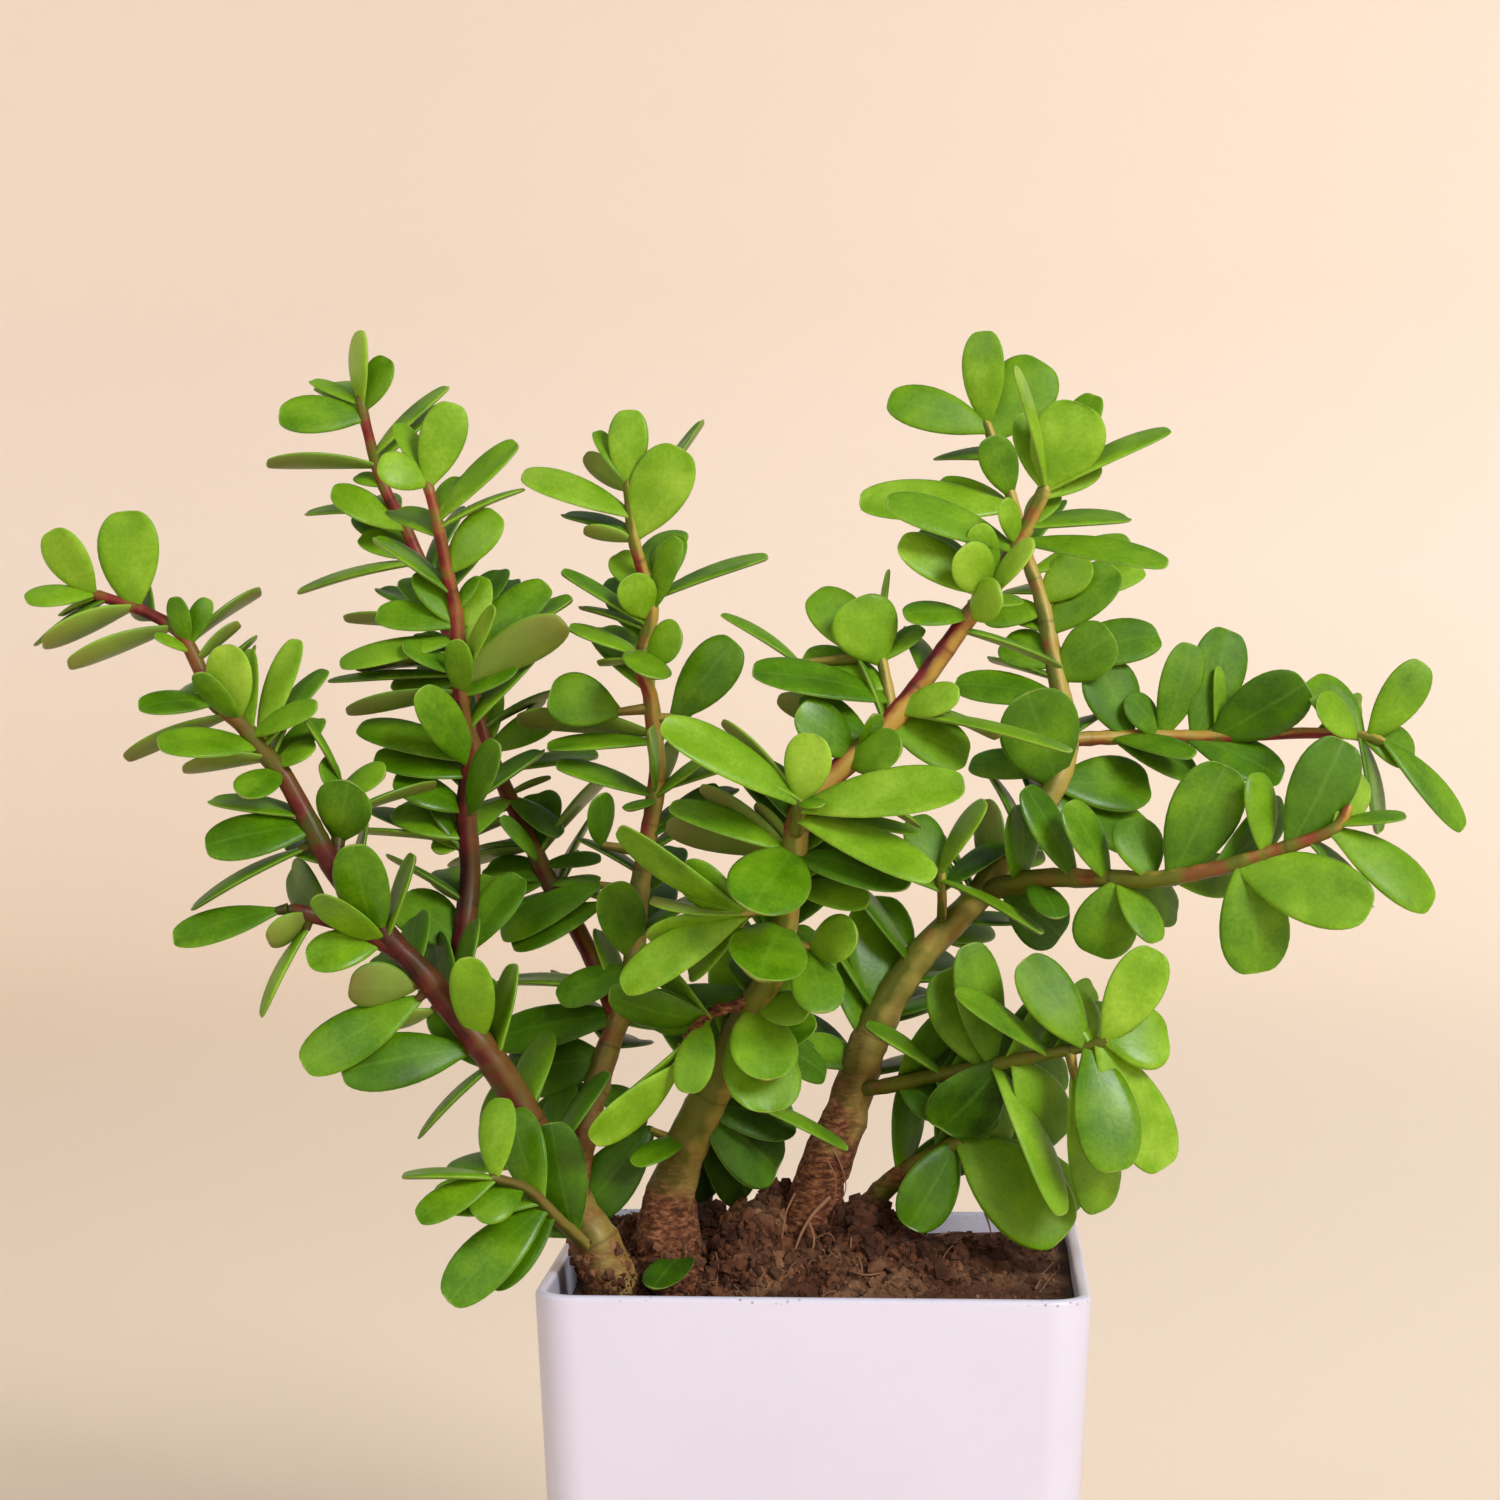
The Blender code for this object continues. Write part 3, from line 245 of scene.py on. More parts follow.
profile = [(SWEEP_FLAT * share, 0.0) for share in (0.1, 0.4, 1.0)]
for step in range(1, SWEEP_BEND_STEPS + 1):
    turn = math.radians(90 * step / SWEEP_BEND_STEPS)
    profile.append(
        (SWEEP_FLAT + SWEEP_BEND * math.sin(turn), SWEEP_BEND * (1 - math.cos(turn)))
    )
profile.append((SWEEP_FLAT + SWEEP_BEND, SWEEP_HEIGHT))
turns = [2 * math.pi * k / SWEEP_TURNS for k in range(SWEEP_TURNS)]
points = [(out * math.cos(turn), out * math.sin(turn), up) for out, up in profile for turn in turns]
faces = [tuple(range(SWEEP_TURNS))]
for level in range(len(profile) - 1):
    for k in range(SWEEP_TURNS):
        near, far = level * SWEEP_TURNS, (level + 1) * SWEEP_TURNS
        after = (k + 1) % SWEEP_TURNS
        faces.append((near + k, far + k, far + after, near + after))
sweep = new_object("backdrop", points, faces, paper)
sweep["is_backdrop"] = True


# The pot: a four inch square pot of white plastic, moulded in one piece, with walls that lean in
# a little towards the foot, rounded corners and a plain rounded lip. Soil dust clings to its rim.
POT_RIM_WIDTH = 100.0
POT_FOOT_WIDTH = 90.0
POT_HEIGHT = 100.0
POT_CORNER = 8.0
POT_WALL = 2.3
POT_FLOOR = 2.5
POT_FOOT_BEVEL = 1.2
POT_LIP_ROUND = 1.0
CORNER_STEPS = 12
ROUND_STEPS = 5
POT_CREASE = 40.0

SMUDGE_SIZE = 35.7
DUST_PATCH = 22.2
DUST_GRAIN = 1.43
DUST_BELOW_RIM = (1.5, 0.2)
MOULD_GRAIN = 1.67


def per_metre(size):
    """The texture scale whose pattern has features about this many millimetres across."""
    return 1 / (size * MM)


# Glossy moulded plastic: soft reflections over a faintly lilac white, with dust where soil fell.
white_plastic, tree, shader = new_material("white moulded plastic")
place = node(tree, "ShaderNodeTexCoord", take="Object")
height = node(tree, "ShaderNodeSeparateXYZ", {0: place}, take="Z")
smudge, cluster, mould_grain = (
    node(tree, "ShaderNodeTexNoise", {"Vector": place, "Scale": per_metre(size), "Detail": detail})
    for size, detail in ((SMUDGE_SIZE, 3.0), (DUST_PATCH, 2.0), (MOULD_GRAIN, 2.0))
)
grain = node(tree, "ShaderNodeTexVoronoi", {"Vector": place, "Scale": per_metre(DUST_GRAIN)})
dust_from, dust_full = (POT_HEIGHT * MM - below * MM for below in DUST_BELOW_RIM)
near_rim = node(
    tree, "ShaderNodeMapRange", {"Value": height, "From Min": dust_from, "From Max": dust_full}
)
speck = node(
    tree, "ShaderNodeMapRange",
    {"Value": grain, "From Min": 0.16, "From Max": 0.24, "To Min": 1.0, "To Max": 0.0},
)
dusty = node(tree, "ShaderNodeMapRange", {"Value": cluster, "From Min": 0.52, "From Max": 0.62})
both = node(tree, "ShaderNodeMath", {0: speck, 1: dusty}, operation="MULTIPLY")
dust = node(tree, "ShaderNodeMath", {0: both, 1: near_rim}, operation="MULTIPLY")
colour = linear("#C5C4D2")
for amount, shade in ((smudge, "#BCBBC9"), (dust, "#5B3A26")):
    mixed = {"Factor": amount, "A": colour, "B": linear(shade)}
    colour = node(tree, "ShaderNodeMix", mixed, data_type="RGBA")
gloss = node(tree, "ShaderNodeMapRange", {"Value": smudge, "To Min": 0.24, "To Max": 0.36})
bump = node(tree, "ShaderNodeBump", {"Height": mould_grain, "Strength": 0.02, "Distance": 0.001})
fill(tree, shader, {"Base Color": colour, "Roughness": gloss, "Normal": bump})


def rounded_square(half, corner, height, corner_steps, side_steps=1):
    """A square outline with round corners, anticlockwise from above."""
    outline = []
    for quarter in range(4):
        turn = Matrix.Rotation(quarter * math.pi / 2, 3, "Z")
        centre = turn @ Vector((half - corner, half - corner, 0.0))
        for step in range(corner_steps + 1):
            angle = (quarter + step / corner_steps) * math.pi / 2
            on_arc = Vector((corner * math.cos(angle), corner * math.sin(angle), height))
            outline.append(centre + on_arc)
        side = turn @ Vector((2 * (corner - half), 0.0, 0.0))
        start = outline[-1]
        outline += [start + side * (step / side_steps) for step in range(1, side_steps)]
    return outline


def loft(rings):
    """Points and faces of a closed solid through rings of equal length, with flat ends."""
    count = len(rings[0])
    points = [point for ring in rings for point in ring]
    faces = [tuple(reversed(range(count)))]
    for level in range(len(rings) - 1):
        near, far = level * count, (level + 1) * count
        for i in range(count):
            j = (i + 1) % count
            faces.append((near + i, near + j, far + j, far + i))
    faces.append(tuple(range(len(points) - count, len(points))))
    return points, faces


def pot_half(height):
    """Half the pot's outer width at this height."""
    return (POT_FOOT_WIDTH + (POT_RIM_WIDTH - POT_FOOT_WIDTH) * height / POT_HEIGHT) / 2


def quarter_round(inset, height, radius, start):
    """Insets from the outer wall, with heights, round a quarter circle of the pot's section."""
    turns = [math.radians(start + 90 * step / ROUND_STEPS) for step in range(ROUND_STEPS + 1)]
    return [(inset - radius * math.cos(a), height + radius * math.sin(a)) for a in turns]


section = quarter_round(POT_FOOT_BEVEL, POT_FOOT_BEVEL, POT_FOOT_BEVEL, -90)
section += quarter_round(POT_LIP_ROUND, POT_HEIGHT - POT_LIP_ROUND, POT_LIP_ROUND, 0)
section += quarter_round(POT_WALL - POT_LIP_ROUND, POT_HEIGHT - POT_LIP_ROUND, POT_LIP_ROUND, 90)
section.append((POT_WALL, POT_FLOOR))
rings = [
    rounded_square(pot_half(height) - inset, POT_CORNER - inset, height, CORNER_STEPS)
    for inset, height in section
]
pot = new_object("pot_body", *loft(rings), white_plastic)
pot.data.set_sharp_from_angle(angle=math.radians(POT_CREASE))
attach(pot, "root")
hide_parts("pot")


# The soil: a peaty potting mix of fine crumbs, heaped and broken round the stems and pressed flat
# towards the walls. The surface is one mesh, and loose crumbs are scattered over it.
SOIL_GAP = 0.3
SOIL_PLAY = 0.05
SOIL_LEVEL = 94.0
SOIL_TILT = 2.2
SOIL_TILT_REACH = 18.0
SOIL_MOUNDS = (
    # across, depth, height, spread
    (2.0, 2.0, 10.0, 13.0),
    (-9.5, 4.0, 12.0, 4.6),
    (-15.0, -8.0, 13.0, 4.6),
    (9.0, -1.0, 5.5, 5.0),
    (22.0, -8.0, 2.5, 8.0),
    (36.0, 22.0, 2.0, 9.0),
    (-34.0, -9.0, 9.0, 4.6),
    (-36.0, 8.0, 12.0, 4.6),
    (-24.0, 22.0, 12.5, 5.5),
    (-40.0, 24.0, 9.5, 5.0),
)
SOIL_RINGS = 56
SOIL_CORNER_STEPS = 14
SOIL_SIDE_STEPS = 30

# Heights and sizes of the clods, lumps and crumbs. They end this far from the pot's middle, and
# fade out over a band that wide. The last two say how broken flat soil is, and how high a mound
# is fully broken.
CLOD_HEIGHT = 0.9
CLODS_END = 46.0
CLODS_FADE = 12.0
LUMP_HEIGHT = 1.8
LUMP_SIZE = 6.25
CRUMB_HEIGHT = 0.2
CRUMB_SIZE = 4 / 3
LUMPS_END = 47.6
LUMPS_FADE = 4.0
FLAT_BROKEN = 0.16
BROKEN_RISE = 6.0

# Loose crumbs: how many to a square metre, how strongly they gather in the mounds, their least and
# largest radius in millimetres, and the seed of their draw.
LOOSE_CRUMBS = {
    "soil_fine_crumbs": {"Density": 1.3e6, "Gathering": 1.0, "Least": 0.25, "Most": 0.9, "Seed": 3},
    "soil_coarse_crumbs": {"Density": 5.0e5, "Gathering": 3.0, "Least": 0.8, "Most": 2.0, "Seed": 8},
}
CRUMBS_WITHIN = 45.5
CRUMB_SEED = 5
CRUMB_CORNERS = (0.6, 1.3)
CRUMB_SQUEEZE = ((0.7, 0.7, 0.5), (1.3, 1.1, 1.0))
SQUEEZE_SEED = 9
TURN_SEED = 4
LIGHTNESS_SEED = 12

SOIL_PATCH = 14.3
SOIL_GRIT = 1.11


def blend_stops(ramp_colour, stops):
    """Gives a colour ramp these stops, each a place and a hex colour, in rising order."""
    elements = ramp_colour.node.color_ramp.elements
    elements[0].position, elements[1].position = stops[0][0], stops[-1][0]
    elements[0].color, elements[1].color = linear(stops[0][1]), linear(stops[-1][1])
    for position, shade in stops[1:-1]:
        elements.new(position).color = linear(shade)


# Peat and loam, damp inside and drying on top: dull, with no shine, and painted shade darkens the
# hollows between the crumbs.
potting_soil, tree, shader = new_material("potting soil")
place = node(tree, "ShaderNodeTexCoord", take="Object")
patches, grit = (
    node(
        tree, "ShaderNodeTexNoise",
        {"Vector": place, "Scale": per_metre(size), "Detail": detail, "Roughness": rough},
    )
    for size, detail, rough in ((SOIL_PATCH, 5.0, 0.5), (SOIL_GRIT, 4.0, 0.7))
)
tint = node(tree, "ShaderNodeValToRGB", {"Fac": patches})
blend_stops(tint, ((0.32, "#40200F"), (0.5, "#7C4C30"), (0.66, "#B5855F")))
# Painted shade in the bed's hollows, and a random lightness for each loose crumb.
lightness = node(tree, "ShaderNodeAttribute", take="Fac", attribute_name="shade")
colour = tint
for amount, shade in ((grit, "#3A2414"), (lightness, "#1A0D07")):
    mixed = {"Factor": amount, "A": linear(shade), "B": colour}
    colour = node(tree, "ShaderNodeMix", mixed, data_type="RGBA")
bump = node(tree, "ShaderNodeBump", {"Height": grit, "Strength": 0.6, "Distance": 0.0006})
fill(tree, shader, {"Base Color": colour, "Normal": bump, "Roughness": 0.95})
fill(tree, shader, {"Specular IOR Level": 0.25})


def heap(x, y):
    """How far the mounds lift the soil at this place."""
    return sum(
        rise * math.exp(-((x - across) ** 2 + (y - depth) ** 2) / (2 * spread**2))
        for across, depth, rise, spread in SOIL_MOUNDS
    )


def ground(x, y):
    """The soil's height at this place, with its clods but no lumps."""
    level = SOIL_LEVEL + SOIL_TILT * math.tanh(x / SOIL_TILT_REACH) + heap(x, y)
    calm = min(1.0, (CLODS_END - max(abs(x), abs(y))) / CLODS_FADE)
    clods = math.sin(x * 0.55 + 1.3) * math.cos(y * 0.47 + 0.4) + 0.7 * math.sin(x * 1.1 - y * 0.9)
    return level + CLOD_HEIGHT * calm * clods


def heaped(x, y):
    """How broken the soil is here, from a little where it is pressed flat to 1 in the mounds."""
    return min(1.0, FLAT_BROKEN + heap(x, y) / BROKEN_RISE)


def crumbled(x, y):
    """The soil's height with its lumps and crumbs."""
    level = ground(x, y)
    edge = max(0.0, min(1.0, (LUMPS_END - max(abs(x), abs(y))) / LUMPS_FADE))
    lumps = noise.fractal(Vector((x, y, level)) / LUMP_SIZE, 1.0, 2.1, 4)
    crumbs = noise.fractal(Vector((x, y, level)) / CRUMB_SIZE, 0.8, 2.1, 3)
    rough = heaped(x, y)
    return level + edge * (LUMP_HEIGHT * rough * lumps + (CRUMB_HEIGHT + rough) * crumbs)


def soil_side(height):
    """Half the soil's width at this height, just inside the pot's wall."""
    return pot_half(height) - POT_WALL - SOIL_PLAY


corner = POT_CORNER - POT_WALL
steps = (SOIL_CORNER_STEPS, SOIL_SIDE_STEPS)
foot = POT_FLOOR + SOIL_GAP
rings = [rounded_square(soil_side(foot), corner, foot, *steps)]
for number in range(SOIL_RINGS):
    share = 1.0 - number / SOIL_RINGS
    ring = rounded_square(soil_side(SOIL_LEVEL) * share, corner * share, 0.0, *steps)
    for point in ring:
        point.z = crumbled(point.x, point.y)
    rings.append(ring)
soil = new_object("soil_bed", *loft(rings), potting_soil)


def new_tree(name, **sockets):
    """A geometry tree with named inputs after its geometry, and the outputs that give them."""
    tree = bpy.data.node_groups.new(name, "GeometryNodeTree")
    tree.interface.new_socket("Geometry", in_out="INPUT", socket_type="NodeSocketGeometry")
    for socket, kind in sockets.items():
        tree.interface.new_socket(socket, in_out="INPUT", socket_type="NodeSocket" + kind)
    tree.interface.new_socket("Geometry", in_out="OUTPUT", socket_type="NodeSocketGeometry")
    return tree, tree.nodes.new("NodeGroupInput").outputs


def end_tree(tree, shape, finish, smooth=True):
    """Ends a geometry tree: every copy made real, smooth or flat shaded, in its material."""
    real = node(tree, "GeometryNodeRealizeInstances", {0: shape})
    shaded = node(tree, "GeometryNodeSetShadeSmooth", {0: real, "Shade Smooth": smooth})
    finished = node(tree, "GeometryNodeSetMaterial", {0: shaded, "Material": finish})
    node(tree, "NodeGroupOutput", {0: finished})


def put_through(thing, tree, **values):
    """The object's mesh replaced by what the geometry tree makes of it."""
    modifier = thing.modifiers.new("shape", "NODES")
    modifier.node_group = tree
    for socket in tree.interface.items_tree:
        if socket.in_out == "INPUT" and socket.name in values:
            modifier[socket.identifier] = values[socket.name]
    bpy.context.view_layer.update()
    graph = bpy.context.evaluated_depsgraph_get()
    made = bpy.data.meshes.new_from_object(thing.evaluated_get(graph))
    thing.modifiers.remove(modifier)
    thing.data = made


def copy_of(thing, name):
    twin = bpy.data.objects.new(name, thing.data.copy())
    bpy.context.scene.collection.objects.link(twin)
    return twin


def store(thing, label, values):
    """Keeps a number for each point of the object's mesh under this name."""
    thing.data.attributes.new(label, "FLOAT", "POINT").data.foreach_set("value", values)


def lump(name, material):
    """A rough little stone shape of 20 faces, 1 mm in radius, for scattering."""
    draw = random.Random(CRUMB_SEED)
    gold = (1 + math.sqrt(5)) / 2
    corners = []
    for a, b in itertools.product((-1, 1), (-gold, gold)):
        corners += [(0, a, b), (a, b, 0), (b, 0, a)]
    corners = [Vector(c).normalized() * draw.uniform(*CRUMB_CORNERS) for c in corners]
    # Three corners make a face where each is under a right angle from the others.
    faces = [
        trio
        for trio in itertools.combinations(range(12), 3)
        if all(corners[i].dot(corners[j]) > 0 for i, j in itertools.combinations(trio, 2))
    ]
    outward = []
    for i, j, k in faces:
        normal = (corners[j] - corners[i]).cross(corners[k] - corners[i])
        outward.append((i, j, k) if normal.dot(corners[i]) > 0 else (i, k, j))
    return new_object(name, corners, outward, material)


scatter, given = new_tree(
    "crumbs scattered over soil",
    Crumb="Object", Density="Float", Gathering="Float", Least="Float", Most="Float", Seed="Int",
    Finish="Material",
)
broken = node(scatter, "GeometryNodeInputNamedAttribute", {"Name": "broken"}, data_type="FLOAT")
gathered = node(scatter, "ShaderNodeMath", {0: broken, 1: given["Gathering"]}, operation="POWER")
density = node(scatter, "ShaderNodeMath", {0: gathered, 1: given["Density"]}, operation="MULTIPLY")
spread = node(
    scatter, "GeometryNodeDistributePointsOnFaces",
    {"Mesh": given["Geometry"], "Density": density, "Seed": given["Seed"]},
)
chance = node(scatter, "FunctionNodeRandomValue", {"Seed": given["Seed"]}, data_type="FLOAT")
mostly_small = node(scatter, "ShaderNodeMath", {0: chance, 1: 3.0}, operation="POWER")
size = node(
    scatter, "ShaderNodeMapRange",
    {"Value": mostly_small, "To Min": given["Least"], "To Max": given["Most"]},
)
squeeze, turn = (
    node(
        scatter, "FunctionNodeRandomValue", {"Min": low, "Max": high, "Seed": seed},
        data_type="FLOAT_VECTOR",
    )
    for low, high, seed in (
        (*CRUMB_SQUEEZE, SQUEEZE_SEED), ((0.0, 0.0, 0.0), (math.tau, math.tau, math.tau), TURN_SEED)
    )
)
scale = node(scatter, "ShaderNodeVectorMath", {0: squeeze, "Scale": size}, operation="SCALE")
shape = node(scatter, "GeometryNodeObjectInfo", {"Object": given["Crumb"]}, take="Geometry")
crumbs = node(
    scatter, "GeometryNodeInstanceOnPoints",
    {"Points": spread, "Instance": shape, "Rotation": turn, "Scale": scale},
)
lightness = node(
    scatter, "FunctionNodeRandomValue", {"Min": 0.25, "Max": 1.0, "Seed": LIGHTNESS_SEED},
    data_type="FLOAT",
)
shaded = node(
    scatter, "GeometryNodeStoreNamedAttribute",
    {"Geometry": crumbs, "Name": "shade", "Value": lightness},
    data_type="FLOAT", domain="INSTANCE",
)
end_tree(scatter, shaded, given["Finish"], smooth=False)

# The bed is painted darker where it dips below its clods: painted shade in the hollows.
breaks, painted_hollow_shade = [], []
for vertex in soil.data.vertices:
    x, y, z = vertex.co / MM
    inside = max(abs(x), abs(y)) < CRUMBS_WITHIN and z > POT_HEIGHT / 2
    breaks.append(heaped(x, y) if inside else 0.0)
    painted_hollow_shade.append(max(0.0, min(1.0, 0.62 + 0.4 * (z - ground(x, y)))))
store(soil, "broken", breaks)
store(soil, "shade", painted_hollow_shade)
crumb = lump("crumb", potting_soil)
pieces = [soil]
for name, sizes in LOOSE_CRUMBS.items():
    pieces.append(copy_of(soil, name))
    put_through(pieces[-1], scatter, Crumb=crumb, Finish=potting_soil, **sizes)
for piece in pieces:
    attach(piece, "root")
    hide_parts("soil")


# The stems: four branched stems, juicy and round, that turn woody at the foot. Each shoot follows
# its own route and swells a little where a pair of leaves leaves it. Green where it is young, it
# reddens in strong light, and it turns to thin brown bark near the soil.
THIN_SIDES = 5
THICK_SIDES = 7
THICK_STEM = 4.6
STEM_STEP = 12.0
STEM_STEP_LEAST = 7.0
STEM_ROOT = 24.0
ROOT_TAPER = 0.93
STALK_LEAST = 2.2

# Each shoot has its route, as (across, down, depth), its thicknesses, its redness and its
# woodiness, each spaced evenly along it, and its leaves as (root across, root down, tip across,
# tip down, how far the tip reaches back from its root, leaf width, how far the upper face turns
# to the viewer in degrees).
LEFT_TRUNK = {
    "route": (
        (618, 1305, -25), (600, 1255, -25), (572, 1200, -26), (545, 1150, -28), (515, 1095, -30),
        (488, 1055, -32), (460, 1020, -33), (437, 990, -34), (399, 950, -36), (350, 926, -38),
        (312, 915, -40), (288, 909, -41),
    ),
    "thick": (11.5, 9.5, 6.8, 6.2, 5.6, 5.0, 4.4, 3.4, 2.6),
    "red": (0.1, 0.25, 0.8, 0.95, 0.9),
    "wood": (0.4, 0.12, 0.0, 0.0),
    "leaves": (
        (276, 911, 174, 947, 0, 9, 45), (310, 921, 268, 944, -3, 8, -40),
        (306, 930, 256, 1016, 0, 9, 12), (380, 944, 305, 958, -5, 9, 60),
        (380, 932, 351, 843, -4, 10.5, 75), (385, 941, 315, 892, -6, 8, 25),
        (387, 938, 420, 855, -3, 8, 20), (414, 987, 348, 985, -5, 10, -60),
        (417, 1000, 302, 1070, -4, 11, 65), (433, 1010, 390, 1027, 0, 6, -30),
        (466, 1050, 338, 1070, -6, 11.5, 70), (469, 1050, 470, 958, -10, 8.6, 80),
        (484, 1070, 415, 1136, 4, 8, 10), (500, 1080, 498, 1150, 3, 8, 40),
    ),
}
LEFT_OUTER = {
    "route": (
        (399, 950, -36), (360, 905, -38), (335, 870, -40), (318, 840, -41), (300, 805, -41),
        (283, 775, -41), (262, 750, -40), (240, 722, -39), (212, 700, -38), (198, 665, -37),
        (178, 631, -36), (138, 609, -35), (93, 594, -35),
    ),
    "thick": (4.8, 4.2, 3.8, 3.3, 2.8, 2.3, 2.0),
    "red": (0.85, 0.8, 0.45, 0.5, 0.75, 0.8),
    "wood": (0.1, 0.0, 0.0),
    "leaves": (
        (134, 607, 127, 509, 0, 12, 75), (92, 594, 49, 529, -5, 9, 60),
        (93, 595, 25, 598, -6, 8, 30), (98, 598, 62, 612, 8, 7, 10),
        (132, 610, 42, 646, -8, 9, -30), (170, 630, 68, 672, -6, 9, -25),
        (188, 645, 176, 596, 0, 5, 60), (190, 645, 208, 597, 0, 5, 60),
        (192, 650, 154, 636, -3, 4, 30), (199, 660, 241, 623, 3, 6, -20),
        (240, 715, 225, 643, -6, 9, 70), (250, 735, 252, 647, 0, 5, 50),
        (238, 720, 199, 671, -10, 6, 50), (262, 745, 299, 638, 6, 7, 50),
        (262, 748, 324, 665, 5, 9, 25), (214, 704, 137, 710, -3, 8, 35),
        (207, 690, 178, 692, 6, 6, 30), (228, 718, 125, 761, 4, 9, -20),
        (260, 746, 156, 743, -8, 10, 35), (268, 759, 180, 766, -3, 9, -40),
        (280, 770, 240, 797, -10, 8, 50), (275, 765, 317, 745, 0, 8, 30),
        (252, 735, 317, 702, -5, 7, 35), (283, 765, 321, 721, 4, 8, 40),
        (312, 828, 203, 846, -4, 11, 50), (300, 850, 187, 908, 2, 10, 10),
        (330, 865, 293, 841, 4, 9, 40),
    ),
}
LEFT_OUTER_TWIG = {
    "route": ((335, 870, -40), (338, 840, -37), (342, 805, -36), (341, 780, -36)),
    "thick": (2.8, 2.4, 1.9),
    "red": (0.4, 0.3),
    "wood": (0.0, 0.0),
    "leaves": (
        (341, 782, 299, 718, 0, 7, 8), (341, 788, 320, 764, -4, 7, 40),
        (342, 788, 386, 775, -4, 8, 40), (340, 840, 352, 778, -7, 11, 80),
    ),
}
LEFT_FRONT = {
    "route": (
        (478, 1042, -32), (464, 1000, -25), (460, 960, -20), (466, 920, -18), (470, 870, -16),
        (466, 800, -16), (474, 752, -17), (463, 719, -18), (458, 650, -20), (456, 613, -20),
        (448, 574, -21), (436, 516, -22), (427, 482, -22),
    ),
    "thick": (4.4, 4.4, 4.2, 3.8, 3.3, 2.8, 2.4, 2.0),
    "red": (1.0, 1.1, 1.0, 0.95, 0.85, 0.6),
    "wood": (0.1, 0.0, 0.0),
    "leaves": (
        (430, 485, 453, 401, 0, 9, 85), (427, 484, 378, 462, -4, 8, 60),
        (426, 480, 398, 420, 2, 6, 50), (438, 520, 520, 443, 0, 9, 30),
        (436, 515, 458, 476, 5, 6, 40), (440, 528, 523, 483, 5, 8, 5),
        (447, 572, 499, 512, 0, 9, 60), (454, 625, 416, 572, -4, 7.5, 60),
        (454, 625, 375, 612, 0, 8, 50), (455, 630, 344, 619, 4, 7, -20),
        (456, 640, 338, 668, -3, 9, 30), (457, 655, 352, 670, 4, 9, -20),
        (458, 675, 325, 686, 5, 8, 10), (459, 683, 391, 683, 0, 8, 40),
        (460, 692, 342, 702, 3, 8, -25), (459, 665, 485, 575, -4, 8, 60),
        (460, 680, 498, 607, -6, 7, 25), (459, 660, 548, 581, 3, 9, 60),
        (460, 668, 577, 601, 1, 9, 20), (460, 682, 567, 622, -2, 10, -60),
        (455, 612, 478, 578, 2, 4, 40), (459, 672, 400, 647, -6, 7, 35),
        (460, 695, 459, 640, -9, 6, 70), (460, 695, 518, 664, -2, 8, 35),
        (470, 765, 420, 685, -6, 8.5, 70), (472, 760, 358, 722, 3, 10, 40),
        (472, 755, 448, 702, 3, 6, 60), (469, 775, 372, 760, 0, 9, 40),
        (466, 810, 392, 780, -3, 9, 45), (467, 815, 500, 742, -5, 8, 45),
        (467, 838, 392, 815, 2, 9, 40), (468, 842, 338, 835, 3, 8, -20),
        (462, 945, 400, 900, 5, 12, 60), (466, 920, 400, 940, 7, 12, 60),
        (463, 955, 505, 865, 4, 10, 50), (461, 965, 420, 985, 6, 9, 40),
    ),
}
LEFT_BACK = {
    "route": (
        (618, 1020, -15), (600, 975, -9), (575, 925, -4), (548, 880, 0), (528, 835, 4),
        (508, 795, 7), (487, 745, 10), (473, 695, 12), (455, 650, 14), (437, 605, 15),
        (420, 562, 15), (403, 522, 15), (390, 500, 14), (378, 470, 14), (366, 425, 13),
        (360, 395, 13),
    ),
    "thick": (3.8, 3.6, 3.3, 3.0, 2.8, 2.6, 2.3, 2.0),
    "red": (0.6, 0.75, 0.8, 0.8, 0.6),
    "wood": (0.1, 0.0, 0.0),
    "leaves": (
        (361, 405, 359, 329, 0, 9, 25), (362, 410, 392, 359, 0, 8, 50),
        (364, 418, 277, 413, -3, 9, 60), (362, 405, 312, 383, 6, 5, 30),
        (376, 466, 264, 466, -4, 9, -20), (384, 486, 355, 475, 3, 5, 40),
        (405, 528, 329, 494, -6, 10, 40), (398, 512, 304, 509, 6, 6, 20),
        (418, 558, 360, 538, 3, 7, 50), (420, 562, 294, 588, 0, 9, 10),
        (373, 455, 450, 386, 6, 9, 15), (487, 748, 490, 690, 4, 8, 60),
        (488, 750, 558, 715, 0, 9, 45), (498, 770, 601, 759, 2, 8, 20),
        (508, 795, 551, 775, 2, 4, -15), (508, 797, 561, 838, -5, 8, 35),
        (540, 862, 500, 818, -4, 6, 30), (543, 866, 602, 856, 0, 6, 30),
        (550, 884, 600, 884, -4, 8, 15), (546, 880, 484, 905, 4, 9, 25),
        (546, 878, 487, 868, 6, 9, 40), (538, 855, 540, 795, 4, 11, 70),
        (508, 800, 436, 848, -24, 8, 40),
    ),
}
